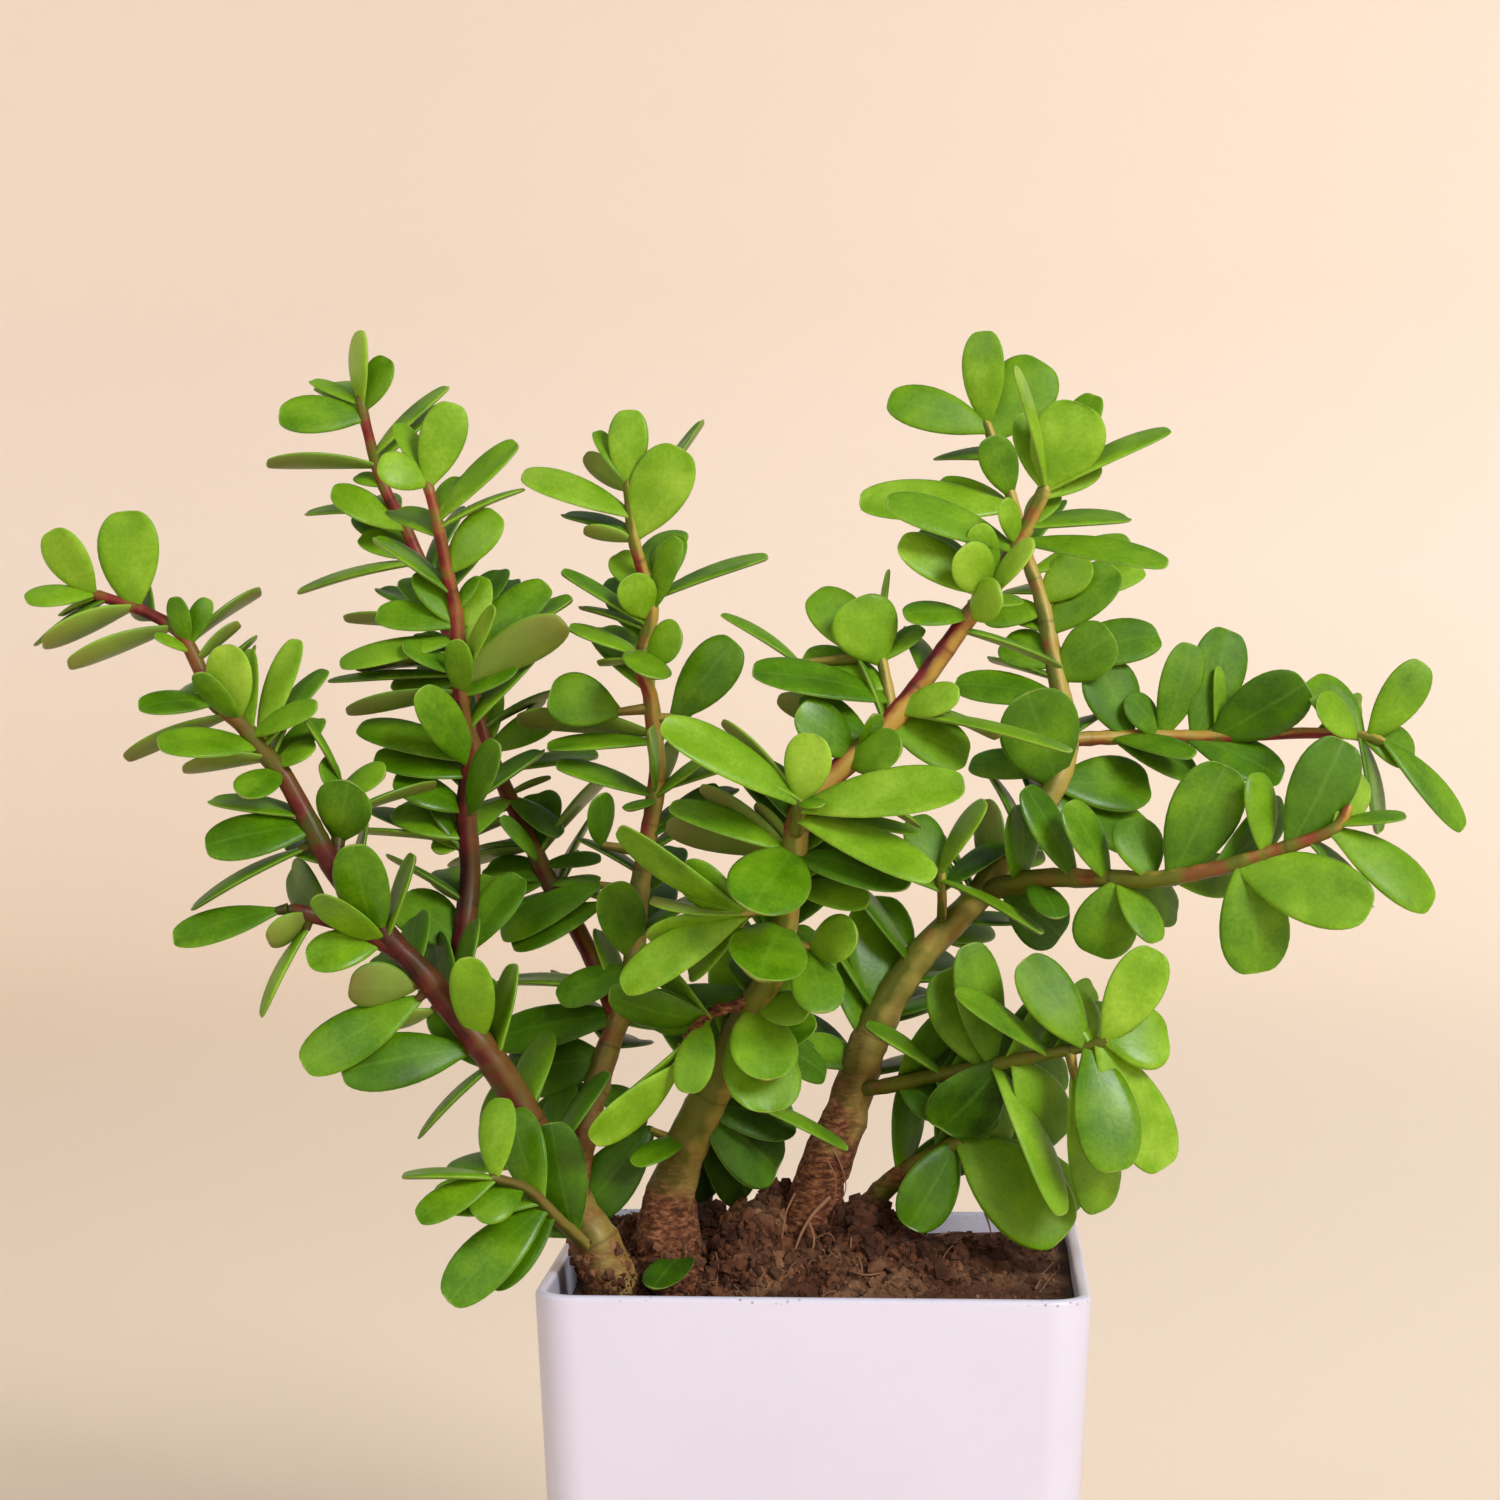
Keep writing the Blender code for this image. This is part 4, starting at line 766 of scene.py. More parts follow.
LEFT_INNER = {
    "route": (
        (572, 1200, -26), (585, 1133, -20), (599, 1078, -17), (611, 1040, -15), (621, 1010, -14),
        (635, 955, -12), (638, 900, -11), (648, 840, -10), (657, 780, -10), (655, 740, -10),
        (650, 695, -11), (642, 671, -12), (645, 640, -12), (652, 610, -13), (642, 569, -14),
        (633, 535, -15), (628, 480, -16),
    ),
    "thick": (5.2, 5.0, 4.4, 4.0, 3.6, 3.2, 2.8, 2.4, 2.0),
    "red": (0.3, 0.3, 0.25, 0.4, 0.6, 0.65, 0.45),
    "wood": (0.3, 0.1, 0.0, 0.0),
    "leaves": (
        (628, 488, 628, 408, 0, 8, 80), (627, 485, 594, 430, 0, 5, 50),
        (629, 490, 581, 457, 5, 6, -50), (633, 537, 681, 445, -3, 12, 80),
        (632, 530, 709, 423, 6, 8, 10), (631, 515, 520, 473, -2, 10, 35),
        (634, 540, 582, 532, 0, 6, -30), (650, 600, 770, 554, 0, 9, 15),
        (650, 610, 678, 537, -4, 7, 45), (649, 600, 682, 534, 3, 7, 60),
        (647, 592, 615, 556, 2, 7, 70), (650, 618, 628, 575, -6, 8, 80),
        (648, 625, 557, 575, -2, 7, 20), (647, 630, 579, 604, 5, 6, 10),
        (643, 655, 566, 632, -2, 8, 20), (642, 660, 598, 667, 2, 6, -10),
        (643, 655, 684, 635, -5, 9, 60), (643, 652, 645, 679, -14, 10, 70),
        (674, 717, 739, 642, 0, 11, 70), (618, 712, 548, 693, 0, 11, 75),
        (650, 735, 516, 713, 6, 9, -30), (655, 742, 545, 751, -2, 9, 20),
        (657, 792, 645, 730, -5, 7, 15), (656, 795, 678, 740, 4, 6, -40),
        (655, 795, 553, 769, -2, 9, 25), (656, 797, 706, 762, -5, 8, 15),
        (655, 800, 628, 812, -5, 6, 20), (602, 845, 597, 794, -5, 8, 45),
        (600, 885, 500, 938, 2, 10, 40), (600, 905, 512, 950, 0, 10, 40),
        (634, 958, 611, 881, -5, 10, 70), (630, 968, 556, 1000, -4, 9, 50),
        (624, 992, 496, 976, 0, 9, 15), (618, 1015, 488, 1040, 0, 11, 50),
        (605, 1060, 512, 1070, 6, 13, 70), (598, 1085, 525, 1144, 3, 10, 60),
        (617, 1020, 694, 1020, 6, 9, 40), (597, 1090, 650, 1120, 5, 9, 50),
    ),
}
LEFT_FOOT = {
    "route": ((600, 1262, -25), (580, 1240, -30), (556, 1218, -36), (528, 1190, -41), (490, 1177, -46)),
    "thick": (3.0, 2.8, 2.2, 1.8),
    "red": (0.2, 0.2),
    "wood": (0.2, 0.0),
    "leaves": (
        (492, 1178, 400, 1175, 0, 8, 12), (494, 1180, 417, 1222, -3, 8, 50),
        (522, 1186, 474, 1214, -7, 8, 65), (545, 1207, 443, 1300, -9, 11, 70),
        (552, 1214, 490, 1290, -5, 10, 55), (495, 1178, 498, 1096, 2, 8, 60),
    ),
}
MIDDLE_MAIN = {
    "route": (
        (668, 1238, -15), (670, 1200, -15), (681, 1160, -16), (700, 1115, -18), (718, 1080, -20),
        (738, 1035, -26), (757, 1003, -30), (772, 970, -34), (785, 920, -38), (793, 860, -42),
        (800, 815, -43), (818, 790, -42), (850, 760, -40), (885, 728, -38), (917, 689, -36),
        (945, 650, -35), (970, 615, -34), (993, 587, -34), (1019, 542, -34), (1047, 485, -35),
    ),
    "thick": (12.0, 8.6, 7.3, 6.8, 6.0, 5.2, 4.8, 4.6, 4.4, 4.0, 3.8, 3.4, 3.0, 2.6),
    "red": (0.1, 0.0, 0.0, 0.1, 0.3, 0.7, 0.9, 0.75, 0.4),
    "wood": (0.9, 0.25, 0.1, 0.05, 0.0, 0.0, 0.0, 0.0, 0.0, 0.0),
    "leaves": (
        (1047, 490, 1083, 402, -3, 14, 80), (1045, 489, 1020, 412, -1, 8, 60),
        (1046, 487, 1012, 366, -5, 7, 15), (1047, 487, 1100, 395, 6, 8, 60),
        (1044, 492, 1171, 424, 3, 8, 25), (1042, 497, 1095, 460, 7, 9, 60),
        (1016, 550, 888, 494, -9, 10, 40), (1019, 545, 1003, 500, -3, 5, 60),
        (990, 592, 897, 543, -5, 9, 60), (993, 588, 921, 527, 0, 6, 40),
        (992, 589, 972, 524, -3, 7, 70), (989, 593, 962, 550, -10, 9, 75),
        (986, 597, 1035, 543, -7, 8, 30), (970, 616, 903, 613, -5, 8, 35),
        (971, 615, 998, 590, -7, 8, 60), (978, 604, 1022, 600, 4, 5, 30),
        (1026, 528, 1055, 492, 5, 6, 60), (1020, 542, 1171, 562, -6, 9, 30),
        (898, 712, 1076, 750, -10, 9, 10), (900, 710, 958, 694, -4, 7, 60),
        (888, 724, 968, 760, 3, 12, 50), (870, 742, 800, 695, 3, 8, 50),
        (872, 740, 777, 698, 6, 7, -30), (855, 756, 797, 708, -4, 10, 60),
        (863, 748, 876, 714, 0, 5, 50), (848, 762, 902, 745, -6, 9, 60),
        (794, 855, 910, 889, -8, 11, 40), (795, 850, 752, 913, -18, 15, 80),
        (794, 852, 668, 803, 0, 9, 35), (794, 856, 701, 786, 6, 7, -30),
        (795, 850, 664, 832, 4, 9, -50), (796, 845, 752, 806, 3, 5, -30),
        (790, 885, 870, 905, -3, 8, 45), (784, 925, 752, 981, -18, 15, 80),
        (810, 948, 857, 932, -10, 9, 75), (810, 951, 823, 1011, -12, 10, 75),
        (757, 1002, 740, 958, -3, 9, 60), (757, 1002, 808, 1012, -6, 8, 60),
        (755, 1006, 770, 1080, -13, 13, 75), (750, 1015, 765, 1117, -9, 15, 75),
        (702, 1110, 775, 1170, 9, 16, 60), (714, 1088, 853, 1147, 2, 7, 20),
        (650, 1130, 560, 1200, -4, 11, 65), (692, 1135, 632, 1168, -9, 6, 50),
        (690, 1250, 652, 1293, -12, 8, 55), (760, 998, 646, 1000, 5, 9, 30),
        (742, 1028, 830, 1075, 6, 9, 50), (706, 1108, 792, 1122, 13, 13, 55),
        (700, 1118, 752, 1196, 15, 12, 65), (690, 1142, 716, 1196, 14, 10, 70),
    ),
}
MIDDLE_SPROUT = {
    "route": ((794, 850, -42), (797, 825, -45), (800, 798, -47)),
    "thick": (2.8, 2.4),
    "red": (0.0, 0.0),
    "wood": (0.0, 0.0),
    "leaves": (
        (799, 802, 657, 722, -6, 10, 50), (799, 800, 717, 722, 6, 7, -20),
        (800, 799, 706, 722, 2, 8, 10), (799, 803, 823, 806, -6, 4, 30),
        (800, 801, 816, 733, -4, 9, 80), (799, 808, 968, 787, -8, 11, 55),
        (798, 818, 938, 875, -8, 10, 45), (798, 820, 923, 826, 3, 7, 20),
    ),
}
MIDDLE_TWIG = {
    "route": ((893, 718, -37), (887, 685, -35), (881, 655, -34)),
    "thick": (2.4, 2.2, 1.9),
    "red": (0.3, 0.1),
    "wood": (0.0, 0.0),
    "leaves": (
        (881, 660, 812, 592, 3, 11, 60), (882, 662, 852, 598, -4, 13, 80),
        (881, 656, 891, 568, 0, 4, 15), (882, 660, 922, 625, 2, 6, 40),
        (886, 688, 800, 660, 3, 10, 50), (888, 700, 751, 670, -7, 10, 40),
        (800, 664, 723, 609, 2, 7, 15),
    ),
}
MIDDLE_DRY_TWIG = {
    "route": ((757, 1003, -30), (728, 1006, -33), (704, 1019, -35), (684, 1045, -36)),
    "thick": (2.4, 2.1, 1.8),
    "red": (0.3, 0.2),
    "wood": (0.8, 0.8),
    "leaves": (
        (704, 1019, 690, 1095, -4, 8, 70), (679, 1066, 588, 1141, -5, 9, 50),
        (684, 1045, 616, 1105, 2, 7, 15),
    ),
}
MIDDLE_LOW_TWIG = {
    "route": ((788, 900, -39), (764, 908, -43), (740, 915, -46)),
    "thick": (2.4, 2.0),
    "red": (0.2, 0.1),
    "wood": (0.1, 0.0),
    "leaves": (
        (742, 914, 680, 865, 0, 9, 60), (744, 913, 616, 826, -4, 9, 35),
        (742, 916, 650, 896, 5, 8, 10), (743, 916, 650, 940, 7, 10, 50),
        (746, 915, 619, 989, 0, 10, 55), (750, 914, 688, 975, 4, 9, 40),
    ),
}
RIGHT_MAIN = {
    "route": (
        (808, 1225, 0), (813, 1200, 0), (822, 1175, 0), (838, 1135, 1), (852, 1095, 2),
        (866, 1050, 3), (890, 1000, 4), (921, 955, 5), (950, 925, 6), (975, 900, 7),
        (1000, 865, 8), (1025, 828, 10), (1055, 785, 12), (1068, 740, 15), (1060, 690, 18),
        (1050, 640, 21), (1042, 600, 23), (1028, 560, 25), (1015, 510, 27), (1000, 460, 28),
        (985, 420, 29),
    ),
    "thick": (11.0, 9.8, 8.2, 7.0, 6.4, 5.8, 5.4, 5.0, 4.4, 3.8, 3.2, 2.6, 2.2, 2.0),
    "red": (0.4, 0.1, 0.05, 0.05, 0.1, 0.3, 0.5, 0.5),
    "wood": (1.0, 0.5, 0.12, 0.05, 0.0, 0.0, 0.0, 0.0, 0.0),
    "leaves": (
        (987, 425, 981, 329, 0, 9, 75), (988, 430, 888, 394, -2, 10, 65),
        (990, 438, 1044, 361, 4, 14, 80), (1010, 495, 990, 434, -5, 8, 80),
        (1014, 508, 856, 504, -3, 12, 45), (1014, 512, 937, 482, 3, 8, 35),
        (1032, 572, 1132, 540, 4, 9, 30), (1042, 600, 1090, 558, -2, 10, 60),
        (1043, 605, 1147, 568, 5, 8, 50), (1048, 632, 1118, 567, 2, 11, 80),
        (1046, 620, 1072, 595, 3, 7, 50), (1044, 612, 983, 615, 4, 8, 50),
        (1057, 677, 1115, 635, -3, 12, 70), (1054, 660, 1160, 632, 5, 11, 60),
        (1054, 665, 1003, 640, 5, 10, 60), (1062, 700, 953, 684, 5, 9, 50),
        (1056, 784, 1025, 690, -9, 17, 75), (1060, 770, 968, 765, 5, 10, 40),
        (1056, 785, 1150, 790, 9, 13, 60), (1045, 800, 1160, 840, 9, 12, 60),
        (992, 878, 1005, 800, 4, 9, -40), (880, 1018, 903, 895, 7, 15, 70),
        (868, 1045, 850, 955, 4, 9, 50), (862, 1065, 800, 1045, 0, 9, 50),
    ),
}
RIGHT_TWIG = {
    "route": ((941, 934, 6), (942, 900, 2), (940, 868, 0)),
    "thick": (2.2, 1.8),
    "red": (0.1, 0.1),
    "wood": (0.1, 0.0),
    "leaves": ((941, 880, 1046, 930, -10, 8, 10), (940, 872, 983, 798, -3, 9, 25)),
}
RIGHT_SIDE = {
    "route": (
        (985, 892, 7), (1008, 886, 2), (1048, 878, -4), (1112, 879, -10), (1159, 879, -14),
        (1223, 867, -18), (1271, 852, -20), (1332, 830, -22), (1350, 805, -22),
    ),
    "thick": (4.4, 3.8, 3.4, 3.0, 2.6, 2.0),
    "red": (0.05, 0.1, 0.2, 0.45, 0.6),
    "wood": (0.2, 0.1, 0.05, 0.0),
    "leaves": (
        (1018, 884, 1022, 803, -4, 10, 45), (1032, 881, 1058, 919, -10, 8, 50),
        (1075, 878, 1020, 788, -1, 9, 50), (1108, 879, 1066, 802, -3, 9, 50),
        (1150, 879, 1128, 818, 4, 11, 60), (1172, 876, 1225, 762, 0, 14, 80),
        (1264, 853, 1256, 771, 0, 8, 50), (1290, 845, 1345, 738, -3, 13, 75),
        (1335, 828, 1368, 780, 3, 7, 40), (1338, 826, 1408, 818, 0, 7, 20),
        (1332, 830, 1435, 904, 2, 11, 55), (1238, 862, 1372, 915, -9, 14, 75),
        (1245, 860, 1261, 975, 0, 14, 75), (1125, 880, 1090, 955, 2, 13, 75),
        (1118, 879, 1156, 943, -6, 8, 50), (1005, 887, 1062, 938, 4, 13, 70),
    ),
}
RIGHT_UPPER = {
    "route": (
        (1068, 740, 15), (1100, 738, 17), (1150, 736, 19), (1200, 737, 20), (1250, 735, 20),
        (1310, 733, 19), (1355, 735, 17), (1385, 742, 15),
    ),
    "thick": (3.0, 2.7, 2.4, 1.9),
    "red": (0.45, 0.65, 0.6, 0.4),
    "wood": (0.1, 0.0, 0.0),
    "leaves": (
        (1128, 737, 1095, 662, 2, 13, 60), (1160, 736, 1128, 695, -2, 8, 50),
        (1162, 736, 1193, 642, 0, 9, 70), (1195, 737, 1228, 628, 5, 12, 70),
        (1216, 736, 1221, 665, 0, 4, 40), (1214, 736, 1306, 679, -4, 13, 75),
        (1362, 737, 1312, 676, 3, 9, 60), (1358, 736, 1315, 700, -3, 9, 50),
        (1370, 738, 1426, 662, -1, 9, 75), (1364, 738, 1417, 752, -3, 10, 60),
        (1385, 742, 1468, 828, 1, 8, 45), (1188, 737, 1284, 780, -4, 11, 50),
        (1112, 738, 1197, 752, -4, 9, 25), (1114, 738, 1195, 778, 4, 10, 40),
    ),
}
RIGHT_LOWER = {
    "route": (
        (858, 1088, 2), (880, 1087, -3), (936, 1075, -8), (995, 1064, -13), (1046, 1054, -17),
        (1085, 1047, -20), (1108, 1040, -22),
    ),
    "thick": (3.2, 2.8, 2.4, 2.0),
    "red": (0.0, 0.05, 0.0),
    "wood": (0.2, 0.05, 0.0),
    "leaves": (
        (985, 1066, 940, 970, 3, 14, 70), (992, 1064, 964, 942, -3, 11, 60),
        (1048, 1054, 953, 994, -7, 9, 30), (1087, 1046, 1018, 961, 0, 11, 70),
        (1092, 1045, 1075, 987, 4, 8, 50), (1105, 1041, 1156, 947, 0, 11, 75),
        (1106, 1041, 1170, 1040, 4, 13, 70), (1090, 1046, 1120, 1174, -6, 13, 75),
        (1100, 1043, 1160, 1172, 4, 13, 65), (994, 1064, 1069, 1216, -8, 10, 35),
        (1015, 1060, 1060, 1140, 3, 12, 60), (1075, 1080, 1108, 1216, 5, 12, 60),
        (942, 1074, 865, 1023, -5, 8, 20), (900, 1083, 945, 1115, 0, 10, 50),
        (1000, 1063, 940, 1128, 5, 15, 60),
    ),
}
LOW_MAIN = {
    "route": ((868, 1207, 5), (885, 1187, 3), (905, 1172, 0), (930, 1157, -3), (962, 1140, -6)),
    "thick": (4.6, 4.2, 3.6, 2.8),
    "red": (0.1, 0.05),
    "wood": (0.5, 0.3, 0.1),
    "leaves": (
        (955, 1145, 905, 1228, -4, 12, 70), (962, 1141, 1070, 1235, -5, 17, 75),
        (960, 1141, 1085, 1200, 6, 12, 60), (955, 1145, 1010, 1112, 5, 12, 60),
    ),
}
PLANTS = {
    "leafy_stem_left": (
        LEFT_TRUNK, LEFT_OUTER, LEFT_OUTER_TWIG, LEFT_FRONT, LEFT_BACK, LEFT_INNER, LEFT_FOOT,
    ),
    "leafy_stem_middle": (
        MIDDLE_MAIN, MIDDLE_SPROUT, MIDDLE_TWIG, MIDDLE_DRY_TWIG, MIDDLE_LOW_TWIG,
    ),
    "leafy_stem_right": (RIGHT_MAIN, RIGHT_TWIG, RIGHT_SIDE, RIGHT_UPPER, RIGHT_LOWER),
    "leafy_stem_low": (LOW_MAIN,),
}


def smooth_route(points, step, least):
    """Points along a smooth curve through these, about a step apart and never nearer than least."""
    dense = [points[0]]
    for i in range(len(points) - 1):
        before = points[max(i - 1, 0)]
        start, end = points[i], points[i + 1]
        after = points[min(i + 2, len(points) - 1)]
        parts = max(1, round((end - start).length / step))
        for part in range(1, parts + 1):
            t = part / parts
            dense.append(
                0.5
                * (
                    2 * start
                    + (end - before) * t
                    + (2 * before - 5 * start + 4 * end - after) * t**2
                    + (3 * start - before - 3 * end + after) * t**3
                )
            )
    kept = [dense[0]]
    for point in dense[1:-1]:
        if (point - kept[-1]).length > least:
            kept.append(point)
    kept.append(dense[-1])
    return kept


def travelled(path):
    """How far along the path each of its points is, in millimetres."""
    lengths = [0.0]
    for a, b in zip(path, path[1:]):
        lengths.append(lengths[-1] + (b - a).length)
    return lengths


def shares(path):
    """How far along the path each of its points is, from 0 to 1."""
    lengths = travelled(path)
    return [length / lengths[-1] for length in lengths]


def spaced(values, share):
    """The value this far along a shoot, from values spaced evenly along it."""
    place = share * (len(values) - 1)
    low = min(int(place), len(values) - 2)
    return values[low] + (values[low + 1] - values[low]) * (place - low)


def tube(path, radii, sides):
    """Points and faces of a round stem along the path."""
    rings = []
    side = (path[1] - path[0]).orthogonal()
    for i, centre in enumerate(path):
        ahead = (path[min(i + 1, len(path) - 1)] - path[max(i - 1, 0)]).normalized()
        side = (side - ahead * side.dot(ahead)).normalized()
        other = ahead.cross(side)
        turns = [2 * math.pi * k / sides for k in range(sides)]
        rings.append(
            [centre + (side * math.cos(a) + other * math.sin(a)) * radii[i] for a in turns]
        )
    return loft(rings)


def nearest_on(route, across, down):
    """The point of the route that the viewer sees nearest to this pixel, with its heading."""
    best = None
    for (x0, y0, d0), (x1, y1, d1) in zip(route, route[1:]):
        run = (x1 - x0) ** 2 + (y1 - y0) ** 2
        t = ((across - x0) * (x1 - x0) + (down - y0) * (y1 - y0)) / run
        t = max(0.0, min(1.0, t))
        x, y, depth = x0 + (x1 - x0) * t, y0 + (y1 - y0) * t, d0 + (d1 - d0) * t
        away = math.hypot(across - x, down - y)
        if best is None or away < best[0]:
            heading = (sight(x1, y1, d1) - sight(x0, y0, d0)).normalized()
            best = (away, sight(x, y, depth), depth, heading)
    return best[1:]


def neck_of(route, row):
    """Where a leaf leaves its stem and where its blade begins, how deep, and the stem's heading."""
    root, depth, heading = nearest_on(route, row[0], row[1])
    neck = sight(row[0], row[1], depth)
    if (neck - root).length < STALK_LEAST:
        neck = root
    return root, neck, depth, heading


def rooted(path):
    """The main shoot's path, carried on straight down into the soil."""
    heading = (path[1] - path[0]).normalized()
    return [path[0] - heading * STEM_ROOT, path[0] - heading * (STEM_ROOT / 2)] + path


FINE_STEP = 1.5
FINE_STEP_LEAST = 0.8
STEM_SIDES = 20
STEM_SLIM = 0.96
STEM_KNOBS = 0.005
SWELLING = 0.1
SWELLING_REACH = 1.5
SCAR_SPACING = 8.5
SCAR_REACH = 0.6
STALK_RADII = (1.15, 0.75)
STALK_PARTS = 4
STALK_REDNESS = 0.15
TIP_TAPER = 0.6

# Sizes of the blotches and fibres in the stems' skin. The fibres run round the stem, so they are
# drawn that many times flatter. The knobs are given by how many stand to a metre.
BLOTCH_SIZE = 6.25
FIBRE_SIZE = 1.667
FIBRE_FLATNESS = 2.4
KNOBS_PER_METRE = 420.0

# Which way the painted sunlight lies, and between which places, from left to right, it is painted
# on the stems. Near CROWD_X and low down, painted shade of the crowd at the left darkens the stems:
# it is full within the first number of each pair and gone at the second.
SUN_SIDE = (0.75, -0.45, 0.48)
SUN_FROM = (-80.0, -30.0)
CROWD_X = -75.0
CROWD_REACH = (25.0, 45.0)
CROWD_TOP = (180.0, 215.0)

# Living stem skin and thin bark: smooth and faintly glossy where it is young, green or maroon, with
# a painted golden highlight on the side that faces the light; matt, cracked and brown where it is
# woody. Dark rings are the scars of old leaves, and painted shade darkens the skin low in the crowd.
stem_skin, tree, shader = new_material("succulent stem skin and bark")
place = node(tree, "ShaderNodeTexCoord", take="Object")
facing = node(tree, "ShaderNodeTexCoord", take="Normal")
rightward, upward = (node(tree, "ShaderNodeSeparateXYZ", {0: place}, take=axis) for axis in "XZ")
redness, woodiness, joint, scarred = (
    node(tree, "ShaderNodeAttribute", take="Fac", attribute_name=label)
    for label in ("red", "wood", "joint", "scar")
)
blotches = node(
    tree, "ShaderNodeTexNoise", {"Vector": place, "Scale": per_metre(BLOTCH_SIZE), "Detail": 4.0}
)
drawn_flat = node(
    tree, "ShaderNodeVectorMath", {0: place, 1: (1.0, 1.0, FIBRE_FLATNESS)}, operation="MULTIPLY"
)
fibres = node(
    tree, "ShaderNodeTexNoise",
    {"Vector": drawn_flat, "Scale": per_metre(FIBRE_SIZE), "Detail": 6.0, "Roughness": 0.65},
)
# Painted highlight: the side of the skin that faces SUN_SIDE is painted golden, less so to the left.
to_light = node(
    tree, "ShaderNodeVectorMath", {0: facing, 1: SUN_SIDE}, take="Value", operation="DOT_PRODUCT"
)
lit = node(tree, "ShaderNodeMath", {0: blotches, 1: 0.9, 2: to_light}, operation="MULTIPLY_ADD")
turned_up = node(tree, "ShaderNodeMapRange", {"Value": lit, "From Min": 0.8, "From Max": 1.15})
span = {"From Min": SUN_FROM[0] * MM, "From Max": SUN_FROM[1] * MM, "To Min": 0.05}
painted_sun_reach = node(tree, "ShaderNodeMapRange", {"Value": rightward, **span})
painted_sunlit = node(tree, "ShaderNodeMath", {0: turned_up, 1: painted_sun_reach}, operation="MULTIPLY")

uneven = node(tree, "ShaderNodeMath", {0: blotches, 1: 1.6, 2: -0.8}, operation="MULTIPLY_ADD")
paled = node(tree, "ShaderNodeMath", {0: joint, 1: -0.4, 2: redness}, operation="MULTIPLY_ADD")
patches = node(tree, "ShaderNodeMath", {0: paled, 1: uneven}, operation="ADD")
reddened = node(tree, "ShaderNodeMapRange", {"Value": patches, "From Min": 0.15, "From Max": 0.6})
deepened = node(tree, "ShaderNodeMapRange", {"Value": patches, "From Min": 0.5, "From Max": 1.1})

# Painted shade: the skin low down near CROWD_X is painted dark.
from_crowd = node(tree, "ShaderNodeMath", {0: rightward, 1: CROWD_X * MM}, operation="SUBTRACT")
off_crowd = node(tree, "ShaderNodeMath", {0: from_crowd}, operation="ABSOLUTE")
dimmed, low_down = (
    node(
        tree, "ShaderNodeMapRange",
        {"Value": away, "From Min": near * MM, "From Max": far * MM, "To Min": most, "To Max": 0.0},
    )
    for away, (near, far), most in ((off_crowd, CROWD_REACH, 0.6), (upward, CROWD_TOP, 1.0))
)
painted_crowd_shade = node(tree, "ShaderNodeMath", {0: dimmed, 1: low_down}, operation="MULTIPLY")

scar = node(
    tree, "ShaderNodeMapRange",
    {"Value": scarred, "From Min": 0.6, "From Max": 0.95, "To Max": 0.5},
)
patchy = node(tree, "ShaderNodeMath", {0: uneven, 1: 0.6, 2: woodiness}, operation="MULTIPLY_ADD")
barked = node(tree, "ShaderNodeMapRange", {"Value": patchy, "From Min": 0.15, "From Max": 0.65})
bark = node(tree, "ShaderNodeValToRGB", {"Fac": fibres})
blend_stops(bark, ((0.3, "#22120A"), (0.48, "#5C3722"), (0.6, "#845738"), (0.78, "#B08662")))

# Each coat of colour, with how much of its second colour shows over its first.
coats = {"bark": bark}
for coat, amount, *mixed in (
    ("leafy", blotches, "#38430C", "#717522"),
    ("green", painted_sunlit, "leafy", "#A39246"),
    ("maroon", deepened, "#7E2826", "#2C090A"),
    ("ripened", painted_sunlit, "maroon", "#A08034"),
    ("young", reddened, "green", "ripened"),
    ("shadowed", painted_crowd_shade, "young", "#1C0C06"),
    ("ringed", scar, "shadowed", "#2E2010"),
    ("skin", barked, "ringed", "bark"),
):
    below, above = (coats[name] if name in coats else linear(name) for name in mixed)
    mixed = {"Factor": amount, "A": below, "B": above}
    coats[coat] = node(tree, "ShaderNodeMix", mixed, data_type="RGBA")
dullness, cracked = (
    node(tree, "ShaderNodeMapRange", {"Value": barked, "To Min": low, "To Max": high})
    for low, high in ((0.38, 0.9), (0.06, 0.7))
)
bump = node(
    tree, "ShaderNodeBump", {"Height": fibres, "Strength": cracked, "Distance": 0.0008}
)
fill(tree, shader, {"Base Color": coats["skin"], "Roughness": dullness, "Normal": bump})
fill(tree, shader, {"Specular IOR Level": 0.18})
fill(tree, shader, {"Subsurface Weight": 0.08, "Subsurface Scale": 0.002})

grow, given = new_tree(
    "stems grown along their routes", Sides="Int", Knobs="Float", Finish="Material"
)
radius, woody = (
    node(grow, "GeometryNodeInputNamedAttribute", {"Name": label}, data_type="FLOAT")
    for label in ("radius", "wood")
)
routes = node(grow, "GeometryNodeMeshToCurve", {"Mesh": given["Geometry"]})
outline = node(
    grow, "GeometryNodeCurvePrimitiveCircle", {"Resolution": given["Sides"], "Radius": 1.0}
)
tubes = node(
    grow, "GeometryNodeCurveToMesh",
    {"Curve": routes, "Profile Curve": outline, "Scale": radius, "Fill Caps": True},
)
knobs = node(
    grow, "ShaderNodeTexNoise",
    {"Scale": KNOBS_PER_METRE, "Detail": 4.0, "Roughness": 0.65},
)
centred = node(grow, "ShaderNodeMath", {0: knobs, 1: 0.5}, operation="SUBTRACT")
where_woody = node(grow, "ShaderNodeMath", {0: woody, 1: 0.04}, operation="ADD")
rise = node(grow, "ShaderNodeMath", {0: centred, 1: where_woody}, operation="MULTIPLY")
reach = node(grow, "ShaderNodeMath", {0: rise, 1: given["Knobs"]}, operation="MULTIPLY")
normal = node(grow, "GeometryNodeInputNormal")
outward = node(grow, "ShaderNodeVectorMath", {0: normal, "Scale": reach}, operation="SCALE")
knobbly = node(grow, "GeometryNodeSetPosition", {"Geometry": tubes, "Offset": outward})
end_tree(grow, knobbly, given["Finish"])


